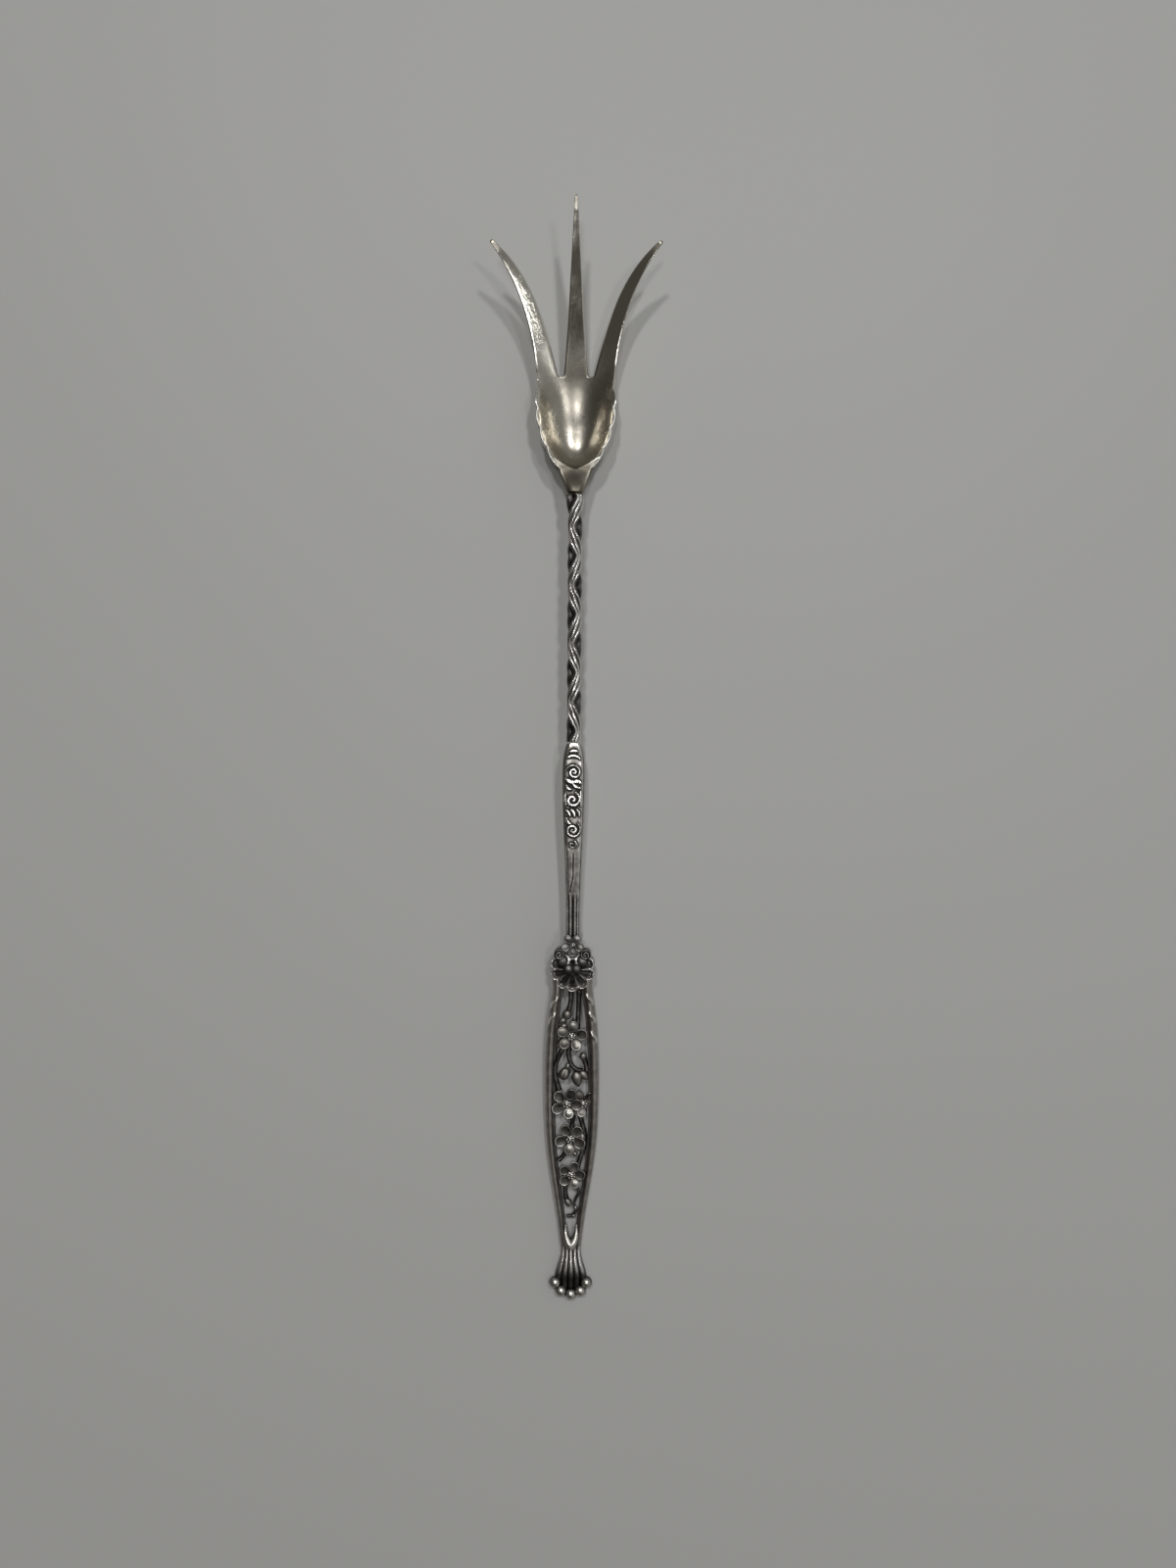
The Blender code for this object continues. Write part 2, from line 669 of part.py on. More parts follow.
def opening_y(run):
    """Station along the fork of a share of the opening's length."""
    return blend(RAIL_HEAD, RAIL_FOOT, run)


def build_rail(draft, side):
    """Bowed rail with a flat back and a rounded front; it runs on under the boss's edge."""
    rings = []
    for step in range(RAIL_STEPS + 1):
        run = blend(-RAIL_OVERRUN, 1.0, step / RAIL_STEPS)
        y = opening_y(run)
        reach = max(run, 0.0)
        width = rail_width(reach)
        middle = rail_outer(reach) - width / 2
        ring = []
        for corner in range(RAIL_SIDES + 1):
            angle = math.pi * corner / RAIL_SIDES
            x = side * (middle + width / 2 * math.cos(angle))
            ring.append((x, y, spine(y) + RAIL_HEIGHT * math.sin(angle) ** RAIL_CROWN))
        rings.append(ring)
    loft(draft, rings)


# Blossoms and vine wires


def petal(name, angle, hub_reach, length):
    """Dished petal, rolled to overlap the next, with its outer end at the blossom's reach."""
    body = ellipsoid(name, (0, 0, 0), (length / 2, PETAL_WIDTH / 2, PETAL_THICKNESS / 2))
    for corner in body.data.vertices:
        if corner.co.z > 0:
            spread = (2 * corner.co.x / length) ** 2 + (2 * corner.co.y / PETAL_WIDTH) ** 2
            corner.co.z *= 1 - PETAL_DISH * (1 - spread)
    reach = hub_reach - length / 2
    body.location = (reach * math.cos(angle), reach * math.sin(angle), PETAL_THICKNESS / 2)
    body.rotation_euler = (PETAL_ROLL, 0, angle)
    return body


def blossom_mesh(name, angles, hub_radius, stamens):
    """Petals around a hub with a ring of stamens, as one casting."""
    hub = ellipsoid(name, (0, 0, PETAL_THICKNESS / 2), (hub_radius, hub_radius, HUB_HALF_HEIGHT))
    for index, angle in enumerate(angles):
        combine(hub, petal(f"{name}_petal_{index}", angle, BLOSSOM_REACH, PETAL_LENGTH), "UNION")
    stamen_ring = hub_radius * STAMEN_RING_SHARE
    for index in range(stamens):
        angle = 2 * math.pi * (index + STAMEN_TURN) / stamens
        centre = (stamen_ring * math.cos(angle), stamen_ring * math.sin(angle), STAMEN_LEVEL)
        grain = ellipsoid(f"{name}_stamen_{index}", centre, (STAMEN_RADIUS,) * 3, segments=5, rings=4)
        combine(hub, grain, "UNION")
    return bake(hub, name)


def place_blossom(name, mesh, x, y, base, turn, reach):
    """Blossom set on the handle's slope, scaled to the room it fills."""
    flower = add_part(name, mesh, BRIGHT)
    flower.location = (x, y, spine(y) + base)
    flower.rotation_euler = (spine_tilt(y), 0, turn)
    flower.scale = (reach / BLOSSOM_REACH,) * 3
    return flower


def build_blossoms():
    """Four whole blossoms in the opening, one tucked behind, and one on the boss."""
    petals = [2 * math.pi * index / 5 for index in range(5)]
    whole = blossom_mesh("blossom", petals, HUB_RADIUS, STAMENS)
    stations = [opening_y(place[0]) for place in BLOSSOM_PLACES]
    for index, (run, offset, turn) in enumerate(BLOSSOM_PLACES):
        room = opening_half_width(run) - abs(offset) - SOLDER_GAP
        others = [abs(stations[index] - y) for y in stations if y != stations[index]]
        reach = min(BLOSSOM_REACH, room, (min(others) - SOLDER_GAP) / 2)
        name = f"blossom_{index + 1}"
        place_blossom(name, whole, offset, stations[index], BLOSSOM_BASE, math.radians(turn), reach)
    boss_top = max(BOSS_EDGE_HEIGHT + BOSS_DOME, PANEL_HEIGHT) + SOLDER_GAP
    boss_y = PANEL_FOOT + BOSS_BLOSSOM_LEAD
    place_blossom("boss_blossom", whole, 0.0, boss_y, boss_top, BOSS_BLOSSOM_TURN, BOSS_BLOSSOM_REACH)
    tucked = blossom_mesh("half_blossom", HALF_BLOSSOM_PETALS, HALF_BLOSSOM_HUB, len(HALF_BLOSSOM_PETALS))
    run = BLOSSOM_PLACES[1][0]
    x = opening_half_width(run) - SOLDER_GAP - HALF_BLOSSOM_HUB
    scale_z = (BLOSSOM_BASE - SOLDER_GAP) / (2 * PETAL_THICKNESS)
    flower = place_blossom("half_blossom", tucked, x, opening_y(run), 0.0, 0.0, HALF_BLOSSOM_REACH)
    flower.scale.z = scale_z


def vine_point(run, across, radius):
    """Point in the opening at shares of its length and of its free half-width."""
    y = opening_y(run)
    room = max(opening_half_width(max(run, 0.0)) - SOLDER_GAP - radius, 0.0)
    return Vector((across * room, y, spine(y) + STEM_AXIS))


def build_sprig(name, path, buds, seat):
    """Vine wire with its buds, trimmed where it meets the boss."""
    points = [vine_point(run, across, STEM_RADIUS) for run, across in path]
    wire = add_part(name, tube(name, points, STEM_RADIUS), OXIDISED)
    for index, (run, across, half_width, half_length, half_height) in enumerate(buds):
        centre = vine_point(run, across, half_width)
        centre.z += half_height - STEM_RADIUS
        body = ellipsoid(f"{name}_bud_{index}", centre, (half_width, half_length, half_height))
        combine(wire, body, "UNION")
    if path[0][0] < 0:
        combine(wire, seat, "DIFFERENCE")


# Strap, fan and beads


def build_collar():
    """V-shaped strap lying over the lower ends of the rails."""
    level = RAIL_HEIGHT + SOLDER_GAP + COLLAR_WIRE_RADIUS
    top = RAIL_FOOT + COLLAR_LENGTH
    spread = rail_outer(1 - COLLAR_LENGTH / OPENWORK_LENGTH) - RAIL_FOOT_WIDTH
    bend = RAIL_FOOT + COLLAR_LENGTH * COLLAR_BEND_SHARE
    elbow = spread * COLLAR_BEND_SPREAD
    knots = ((-spread, top), (-elbow, bend), (0, RAIL_FOOT), (elbow, bend), (spread, top))
    points = [(x, y, spine(y) + level) for x, y in knots]
    add_part("v_collar", tube("v_collar", points, COLLAR_WIRE_RADIUS), BRIGHT)


def bead_centres():
    """Middles of the five beads along their arc."""
    for index in range(-2, 3):
        angle = index * BEAD_STEP
        x = BEAD_ARC_RADIUS * math.sin(angle)
        yield x, BEAD_ARC_CENTRE - BEAD_ARC_RADIUS * math.cos(angle)


def build_fan(draft):
    """Ribbed fan with a flat back, spreading towards the beads."""
    spans = 4 * FAN_RIBS
    end = BEAD_ARC_CENTRE - BEAD_ARC_RADIUS + BEAD_RADIUS
    rings = []
    for step in range(FAN_STEPS + 1):
        run = step / FAN_STEPS
        y = blend(FAN_TOP, end, run)
        half_width = blend(RAIL_FOOT_HALF_WIDTH, FAN_FLARE_WIDTH / 2, smooth(run / FAN_WIDEST_AT))
        half_width -= FAN_END_TUCK * smooth((run - FAN_WIDEST_AT) / (1 - FAN_WIDEST_AT))
        ring = [(half_width, y, 0.0), (-half_width, y, 0.0)]
        for span in range(spans + 1):
            share = blend(-1.0, 1.0, span / spans)
            rib = abs(math.sin(math.pi * FAN_RIBS * span / spans))
            crown = FAN_HEIGHT * (1 - FAN_SIDE_FALL * share ** 2)
            ring.append((half_width * share, y, crown - FAN_RIB_HEIGHT * (1 - rib)))
        rings.append(ring)
    loft(draft, rings)


def build_terminal():
    """Fan trimmed to the beads, and the beads as one cluster."""
    fan = add_part("fan_terminal", mesh_from("fan_terminal", build_fan), RELIEF)
    cluster = None
    for index, (x, y) in enumerate(bead_centres()):
        bpy.ops.mesh.primitive_cylinder_add(
            vertices=24, radius=BEAD_RADIUS + SOLDER_GAP, depth=4 * FAN_HEIGHT, location=(x, y, FAN_HEIGHT)
        )
        seat = as_cutter(bpy.context.active_object)
        seat.name = f"bead_seat_{index}"
        combine(fan, seat, "DIFFERENCE")
        bead = ellipsoid(f"bead_{index}", (x, y, BEAD_RADIUS), (BEAD_RADIUS,) * 3, segments=10, rings=6)
        if cluster is None:
            cluster = bead
        else:
            combine(cluster, bead, "UNION")
    origin = Vector(cluster.location)
    mesh = bake(cluster, "bead_cluster")
    beads = add_part("bead_cluster", mesh, BRIGHT)
    beads.location = origin


build_fork_head()
add_part("twisted_shank", mesh_from("twisted_shank", build_shank), CHASED)
add_part("scroll_panel", mesh_from("scroll_panel", build_panel), CHASED)
add_part("shell_boss", mesh_from("shell_boss", build_boss), RELIEF)
edge_seat = boss_seat()
for rail_name, rail_side in (("left_rail", -1), ("right_rail", 1)):
    rail = add_part(rail_name, mesh_from(rail_name, lambda draft: build_rail(draft, rail_side)), OXIDISED)
    combine(rail, edge_seat, "DIFFERENCE")
build_blossoms()
for sprig_name, (sprig_path, sprig_buds) in SPRIGS.items():
    build_sprig(sprig_name, sprig_path, sprig_buds, edge_seat)
build_collar()
build_terminal()
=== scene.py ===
"""Dressed silver lettuce fork: fine relief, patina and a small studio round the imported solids."""

import logging
import math
from dataclasses import dataclass, field
from enum import Enum

import bmesh
import bpy
import numpy as np
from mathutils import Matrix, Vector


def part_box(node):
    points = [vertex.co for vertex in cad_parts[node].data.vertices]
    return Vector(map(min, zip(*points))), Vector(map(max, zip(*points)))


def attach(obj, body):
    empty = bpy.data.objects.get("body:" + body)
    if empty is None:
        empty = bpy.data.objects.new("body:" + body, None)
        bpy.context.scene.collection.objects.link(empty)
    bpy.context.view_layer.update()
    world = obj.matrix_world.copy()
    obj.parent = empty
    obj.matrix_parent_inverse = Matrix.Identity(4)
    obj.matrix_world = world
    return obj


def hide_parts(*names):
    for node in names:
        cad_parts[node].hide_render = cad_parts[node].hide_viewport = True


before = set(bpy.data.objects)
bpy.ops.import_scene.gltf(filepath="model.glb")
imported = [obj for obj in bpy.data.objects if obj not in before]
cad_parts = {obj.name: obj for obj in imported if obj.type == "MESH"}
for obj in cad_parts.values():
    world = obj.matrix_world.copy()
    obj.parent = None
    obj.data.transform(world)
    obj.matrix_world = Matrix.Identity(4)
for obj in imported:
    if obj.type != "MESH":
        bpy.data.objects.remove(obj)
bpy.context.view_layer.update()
BOSS_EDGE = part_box("shell_boss")[0].y

LOG = logging.getLogger("lettuce_fork")
MM = 0.001
Array = np.ndarray
Colour = tuple[float, float, float]
Place = tuple[float, float]
Socket = bpy.types.NodeSocket
NOISE_DETAIL = 4.0
NOISE_ROUGHNESS = 0.6
RUB_POWER = 1.5
SWEEP_STEPS = 12
CURL_STEPS = 90
CURL_POWER = 0.8


def unit(value: Array) -> Array:
    """Value kept between 0 and 1."""
    return np.clip(value, 0.0, 1.0)


def ease(share: Array) -> Array:
    """Share between 0 and 1 with soft ends."""
    share = unit(share)
    return share * share * (3 - 2 * share)


def mix(start: Array, end: Array, share: Array) -> Array:
    """Value between two values."""
    return start + (end - start) * share


def bell(distance: Array, width: float) -> Array:
    """Bump of height 1 that fades away over a width."""
    return np.exp(-((distance / width) ** 2))


def dome(share: Array) -> Array:
    """Half-round profile: 1 in the middle, 0 from a share of 1 on."""
    return np.sqrt(np.clip(1 - share ** 2, 0.0, None))


def blunt(wave: Array, power: float) -> Array:
    """Wave with its size raised to a power and its sign kept."""
    return np.sign(wave) * np.abs(wave) ** power


def column(start: float, end: float, count: int) -> Array:
    """Evenly spaced values, one to a row."""
    return np.linspace(start, end, count)[:, None]


def turn_round(count: int) -> Array:
    """Angles of a full turn, in one row."""
    return np.linspace(0, 2 * np.pi, count, endpoint=False)[None, :]


def points_of(x: Array, y: Array, z: Array) -> Array:
    """Points from coordinates that fit one grid."""
    return np.stack(np.broadcast_arrays(x, y, z), axis=-1)


def ball(radius: float, upright: Array, sides: int) -> tuple[Array, Array, Array]:
    """Coordinates of rings round a ball, from their angles above its equator."""
    ring = radius * np.cos(upright)
    return ring * np.cos(turn_round(sides)), ring * np.sin(turn_round(sides)), radius * np.sin(upright)


def curve_through(points: Array, steps: int) -> Array:
    """Smooth line through points.

    Args:
        points: Points x dimensions.
        steps: Samples from one point to the next.

    Returns:
        Samples x dimensions, both ends included.
    """
    padded = np.vstack([2 * points[0] - points[1], points, 2 * points[-1] - points[-2]])
    share = np.linspace(0, 1, steps, endpoint=False)[:, None]
    spans = []
    for before, start, end, after in zip(padded, padded[1:], padded[2:], padded[3:]):
        bend = 2 * before - 5 * start + 4 * end - after
        twist = 3 * (start - end) + after - before
        spans.append(start + 0.5 * share * (end - before + share * (bend + share * twist)))
    return np.vstack([*spans, points[-1:]])


def add_object(name: str, content: bpy.types.ID) -> bpy.types.Object:
    """Puts a mesh, light or camera into the scene.

    Args:
        name: Name of the object.
        content: What it shows.

    Returns:
        The new object.
    """
    thing = bpy.data.objects.new(name, content)
    bpy.context.scene.collection.objects.link(thing)
    return thing


class Side(Enum):
    """Place across the fork, seen from the front."""

    LEFT = -1
    MIDDLE = 0
    RIGHT = 1


BOTH_SIDES = (Side.LEFT, Side.RIGHT)


class Form(Enum):
    """Shape of a small ornament on a vine: its height and the depth of its cleft, to its half-width."""

    BUD = (0.90, 0.0)
    LEAF = (0.70, 0.0)
    BELL = (0.85, 0.16)


class Shaders:
    """Node tree of a material or of the world, built step by step."""

    def __init__(self, owner: bpy.types.Material | bpy.types.World) -> None:
        """Takes over a node tree.

        Args:
            owner: Material or world to build in.
        """
        owner.use_nodes = True
        self.tree = owner.node_tree
        self.place = self.add("TexCoord").outputs

    def feed(self, node: bpy.types.Node, values: dict[str | int, object]) -> None:
        """Sets inputs of a node.

        Args:
            node: Node to set.
            values: Numbers, colours or output sockets, by the input's name or number.
        """
        for name, value in values.items():
            if isinstance(value, Socket):
                self.tree.links.new(value, node.inputs[name])
            else:
                node.inputs[name].default_value = value

    def add(self, kind: str, values: dict[str | int, object] | None = None) -> bpy.types.Node:
        """Adds a node.

        Args:
            kind: Blender's name for the node, without its prefix.
            values: What its inputs take, as in feed.

        Returns:
            The node.
        """
        node = self.tree.nodes.new("ShaderNode" + kind)
        self.feed(node, values or {})
        return node

    def math(self, operation: str, first: Socket, second: Socket) -> Socket:
        """Joins two values by an operation.

        Args:
            operation: Blender's name of the operation.
            first: First value.
            second: Second value.

        Returns:
            Output socket, kept between 0 and 1.
        """
        node = self.add("Math", {0: first, 1: second})
        node.operation = operation
        node.use_clamp = True
        return node.outputs[0]

    def noise(self, size: float, stretch: Place = (1.0, 1.0), turn: float = 0.0) -> Socket:
        """Makes a cloudy pattern.

        Args:
            size: Size of its patches in metres.
            stretch: How far the patches are drawn out across and along the fork.
            turn: Angle about the upright axis in degrees.

        Returns:
            Output socket from 0 to 1.
        """
        lay = self.add("Mapping", {
            "Vector": self.place["Object"],
            "Rotation": (0.0, 0.0, math.radians(turn)),
            "Scale": (1 / stretch[0], 1 / stretch[1], 1.0),
        })
        node = self.add("TexNoise", {
            "Vector": lay.outputs["Vector"],
            "Scale": 1 / size,
            "Detail": NOISE_DETAIL,
            "Roughness": NOISE_ROUGHNESS,
        })
        return node.outputs["Fac"]

    def span(self, value: Socket, source: Place, target: Place, kind: str = "LINEAR") -> Socket:
        """Moves a value from one range to another and keeps it inside.

        Args:
            value: Value to move.
            source: Ends of its range.
            target: Ends of the new range.
            kind: Blender's name for the way between the ends.

        Returns:
            Output socket in the new range.
        """
        ends = dict(zip(("From Min", "From Max", "To Min", "To Max"), (*source, *target)))
        node = self.add("MapRange", {"Value": value, **ends})
        node.interpolation_type = kind
        return node.outputs["Result"]

    def ramp(self, value: Socket, stops: list[tuple[float, Colour]]) -> Socket:
        """Makes a colour that changes from stop to stop as a value grows.

        Args:
            value: Value from 0 to 1.
            stops: Positions with their colours.

        Returns:
            Output socket with the colour.
        """
        node = self.add("ValToRGB", {"Fac": value})
        elements = node.color_ramp.elements
        while len(elements) < len(stops):
            elements.new(1.0)
        for element, (position, colour) in zip(elements, stops):
            element.position = position
            element.color = (*colour, 1.0)
        return node.outputs["Color"]


@dataclass(frozen=True)
class SilverFinish:
    """Silver, polished where it is rubbed and blackened where it isn't.

    The mesh attribute "wear" runs from 0 in the recesses to 1 on the high points.
    """

    slot: str
    bright: Colour
    dull: Colour
    tarnish: Colour
    polish: float
    matt: float
    bright_from: float = 0.72
    shade_from: float = 0.40
    matt_to_polish: Place = (0.2, 0.9)
    cloud: Place = (0.3, 0.7)
    patch: float = 1.6 * MM
    patchiness: float = 0.30
    smear: float = 0.05
    smear_size: float = 0.35 * MM
    smear_stretch: Place = (1.0, 3.0)
    scratches: float = 0.25
    scratch_width: float = 0.09 * MM
    scratch_stretch: Place = (1.0, 22.0)
    scratch_turns: Place = (14.0, -38.0)
    scratch_edge: Place = (0.56, 0.66)
    scratch_depth: float = 0.006 * MM
    dents: float = 0.25
    dent_size: float = 2.2 * MM
    dent_depth: float = 0.09 * MM

    def material(self) -> bpy.types.Material:
        """Makes the procedural material of this finish, once.

        Returns:
            The material, which all pieces with this finish share.
        """
        name = self.slot + "_dressed"
        found = bpy.data.materials.get(name)
        if found:
            return found
        material = bpy.data.materials.new(name)
        shaders = Shaders(material)
        wear = shaders.add("Attribute")
        wear.attribute_name = "wear"
        patches = shaders.span(shaders.noise(self.patch), self.cloud, (0.0, self.patchiness))
        worn = shaders.math("SUBTRACT", wear.outputs["Fac"], patches)
        stops = [(0.0, self.tarnish), (self.shade_from, self.dull), (self.bright_from, self.bright)]
        smear = shaders.noise(self.smear_size, self.smear_stretch)
        smear = shaders.span(smear, self.cloud, (-self.smear, self.smear))
        rough = shaders.span(worn, self.matt_to_polish, (self.matt, self.polish))
        shaders.feed(shaders.tree.nodes["Principled BSDF"], {
            "Base Color": shaders.ramp(worn, stops),
            "Roughness": shaders.math("ADD", rough, smear),
            "Metallic": 1.0,
            "Normal": self.relief(shaders),
        })
        return material

    def relief(self, shaders: Shaders) -> Socket:
        """Makes fine scratches in two directions over shallow dents.

        Args:
            shaders: Node tree to build in.

        Returns:
            Output socket with the surface normal.
        """
        lines = []
        for turn in self.scratch_turns:
            noise = shaders.noise(self.scratch_width, self.scratch_stretch, turn)
            lines.append(shaders.span(noise, self.scratch_edge, (0.0, 1.0)))
        dents = shaders.add("Bump", {
            "Height": shaders.noise(self.dent_size), "Distance": self.dent_depth, "Strength": self.dents,
        })
        scratches = shaders.add("Bump", {
            "Height": shaders.math("MAXIMUM", *lines), "Distance": self.scratch_depth,
            "Strength": self.scratches, "Normal": dents.outputs["Normal"],
        })
        return scratches.outputs["Normal"]


BLACK = (0.03, 0.028, 0.026)
SOOT = (0.025, 0.023, 0.021)
POLISHED = SilverFinish(
    "polished_silver", (0.84, 0.81, 0.73), (0.50, 0.465, 0.40), (0.14, 0.125, 0.10),
    polish=0.08, matt=0.38, patch=5.0 * MM, patchiness=0.22, smear=0.025,
)
CHASED = SilverFinish(
    "chased_silver", (0.88, 0.86, 0.82), (0.30, 0.285, 0.265), BLACK, polish=0.20, matt=0.42,
)
RELIEF = SilverFinish(
    "relief_silver", (0.70, 0.68, 0.65), (0.20, 0.19, 0.18), BLACK,
    polish=0.26, matt=0.45, patchiness=0.2, smear=0.03, scratches=0.1, dents=0.12,
)
OXIDISED = SilverFinish(
    "oxidised_silver", (0.70, 0.67, 0.62), (0.33, 0.31, 0.285), SOOT,
    polish=0.32, matt=0.50, patchiness=0.22,
)
BRIGHT = SilverFinish(
    "bright_silver", (0.76, 0.74, 0.69), (0.30, 0.285, 0.26), SOOT,
    polish=0.28, matt=0.46, patchiness=0.2, scratches=0.1, dents=0.12,
)


def dress(piece: bpy.types.Object, finish: SilverFinish, wear: Array, *nodes: str) -> None:
    """Gives a piece its finish and its place in the frame.

    Args:
        piece: Object to dress.
        finish: Silver finish it takes.
        wear: Wear of each of its points.
        nodes: Solids that it stands for.
    """
    attribute = piece.data.attributes.new("wear", "FLOAT", "POINT")
    attribute.data.foreach_set("value", wear.astype(np.float32))
    piece.data.materials.append(finish.material())
    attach(piece, "root")
    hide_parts(*nodes)
    stands_for = ", ".join(nodes) or "itself"
    LOG.info("%s: %d faces, stands for %s", piece.name, len(piece.data.polygons), stands_for)


class Body:
    """Mesh in the making, gathered from closed skins."""

    def __init__(self) -> None:
        """Starts empty."""
        self.points: list[Array] = []
        self.wears: list[Array] = []
        self.faces: list[list[int]] = []
        self.total = 0

    def add_points(self, points: Array, wear: Array) -> int:
        """Takes in points.

        Args:
            points: Points, with their coordinates last.
            wear: Wear of each point.

        Returns:
            Number of the first of them.
        """
        first = self.total
        self.points.append(points.reshape(-1, 3))
        self.wears.append(wear.ravel())
        self.total += len(self.points[-1])
        return first

    def loft(self, rings: Array, wear: Array | float = 0.5) -> None:
        """Adds a closed skin through rings, with a fan over each end.

        Args:
            rings: Rings x points x 3, all running the same way round.
            wear: Wear of the points, 0 in recesses and 1 on high points.
        """
        count, around = rings.shape[:2]
        wear = np.broadcast_to(wear, (count, around))
        first = self.add_points(rings, wear)
        ends = np.stack([rings[0].mean(axis=0), rings[-1].mean(axis=0)])
        foot = self.add_points(ends, np.array([wear[0].mean(), wear[-1].mean()]))
        here = np.arange(around)
        after = (here + 1) % around
        for row in range(count - 1):
            near = first + row * around
            far = near + around
            self.faces += np.stack([near + here, near + after, far + after, far + here], axis=1).tolist()
        last = first + (count - 1) * around
        self.faces += np.stack([first + after, first + here, np.full(around, foot)], axis=1).tolist()
        self.faces += np.stack([last + here, last + after, np.full(around, foot + 1)], axis=1).tolist()

    def tube(self, path: Array, radii: Array, polish: float, sides: int = 16) -> None:
        """Adds a round wire along a path that stays close to level, rubbed along its top.

        Args:
            path: Points x 3.
            radii: Radius at each point.
            polish: Wear along the top.
            sides: Points round the wire.
        """
        ahead = np.gradient(path, axis=0)
        ahead /= np.linalg.norm(ahead, axis=1, keepdims=True)
        across = np.cross(ahead, (0.0, 0.0, 1.0))
        across /= np.linalg.norm(across, axis=1, keepdims=True)
        upright = np.cross(across, ahead)
        angle = turn_round(sides)
        spread = np.cos(angle)[..., None] * across[:, None] + np.sin(angle)[..., None] * upright[:, None]
        wear = polish * unit(np.sin(angle)) ** RUB_POWER
        self.loft(path[:, None] + radii[:, None, None] * spread, wear)

    def to_object(self, name: str) -> bpy.types.Object:
        """Joins all the skins into one smooth mesh with its faces outwards.

        Args:
            name: Name of the mesh and of its object.

        Returns:
            The object.
        """
        mesh = bpy.data.meshes.new(name)
        mesh.from_pydata(np.concatenate(self.points).tolist(), [], self.faces)
        draft = bmesh.new()
        draft.from_mesh(mesh)
        bmesh.ops.recalc_face_normals(draft, faces=draft.faces)
        draft.to_mesh(mesh)
        draft.free()
        mesh.shade_smooth()
        return add_object(name, mesh)

    def wear(self) -> Array:
        """Wear of all the points, kept between 0 and 1."""
        return unit(np.concatenate(self.wears))

    def make(self, name: str, finish: SilverFinish, *nodes: str) -> None:
        """Makes the object and dresses it with the wear of its skins."""
        dress(self.to_object(name), finish, self.wear(), *nodes)


class Sheet(Body):
    """Open sheet in the making, with its own gauge at every point."""

    def __init__(self) -> None:
        """Starts empty."""
        super().__init__()
        self.gauges: list[Array] = []

    def add(self, points: Array, gauge: Array, wear: Array, before: Array | None = None) -> Array:
        """Adds a grid of points.

        Args:
            points: Rows x columns x 3.
            gauge: Thickness at each point.
            wear: Wear of each point.
            before: Numbers of earlier points that the first row grows from.

        Returns:
            Numbers of the new points, rows x columns.
        """
        rows, columns = points.shape[:2]
        own = self.add_points(points, wear) + np.arange(rows * columns).reshape(rows, columns)
        self.gauges.append(gauge.ravel())
        grid = own if before is None else np.vstack([before, own])
        corners = (grid[:-1, :-1], grid[:-1, 1:], grid[1:, 1:], grid[1:, :-1])
        self.faces += np.stack([corner.ravel() for corner in corners], axis=1).tolist()
        return own

    def thicken(self, name: str, thickest: float) -> bpy.types.Object:
        """Makes the object, thickened backwards by its gauges and rounded.

        Args:
            name: Name of the mesh and of its object.
            thickest: Largest gauge.

        Returns:
            The object.
        """
        mesh = bpy.data.meshes.new(name)
        mesh.from_pydata(np.concatenate(self.points).tolist(), [], self.faces)
        mesh.shade_smooth()
        piece = add_object(name, mesh)
        group = piece.vertex_groups.new(name="gauge")
        for index, gauge in enumerate(np.concatenate(self.gauges) / thickest):
            group.add([index], float(gauge), "REPLACE")
        thickness = piece.modifiers.new("gauge", "SOLIDIFY")
        thickness.thickness = thickest
        thickness.offset = -1.0
        thickness.vertex_group = group.name
        rounding = piece.modifiers.new("rounding", "SUBSURF")
        rounding.levels = 1
        rounding.render_levels = 1
        return piece


@dataclass(frozen=True)
class Patina:
    """How rubbing and tarnish follow the form of a piece."""

    rounds: int = 26
    depth: float = 0.06 * MM
    base: float = 0.55

    def wear(self, mesh: bpy.types.Mesh) -> Array:
        """Finds how far each point stands proud of the surface round it.

        Args:
            mesh: Mesh to look at.

        Returns:
            One value for each point, 0 in recesses and 1 on high points.
        """
        count = len(mesh.vertices)
        places = np.empty(count * 3)
        normals = np.empty(count * 3)
        ends = np.empty(len(mesh.edges) * 2, dtype=np.int32)
        mesh.vertices.foreach_get("co", places)
        mesh.vertices.foreach_get("normal", normals)
        mesh.edges.foreach_get("vertices", ends)
        places = places.reshape(-1, 3)
        start, end = ends.reshape(-1, 2).T
        degree = np.bincount(start, minlength=count) + np.bincount(end, minlength=count)
        soft = places.copy()
        for _ in range(self.rounds):
            sums = [
                np.bincount(start, soft[end, axis], count) + np.bincount(end, soft[start, axis], count)
                for axis in range(3)
            ]
            soft = np.stack(sums, axis=1) / degree[:, None]
        proud = ((places - soft) * normals.reshape(-1, 3)).sum(axis=1)
        return unit(self.base + proud / (2 * self.depth))


@dataclass
class Spine:
    """Lazy arch of the handle's back, from the fan to the bowl."""

    rise: float = 5.6 * MM
    power: float = 1.5
    foot: float = field(default_factory=lambda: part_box("fan_terminal")[1].y)
    head: float = field(default_factory=lambda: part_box("twisted_shank")[1].y)

    def height(self, y: Array) -> Array:
        """Height of the back above the table."""
        share = unit((y - self.foot) / (self.head - self.foot))
        return self.rise * np.sin(np.pi / 2 * share) ** self.power


SPINE = Spine()


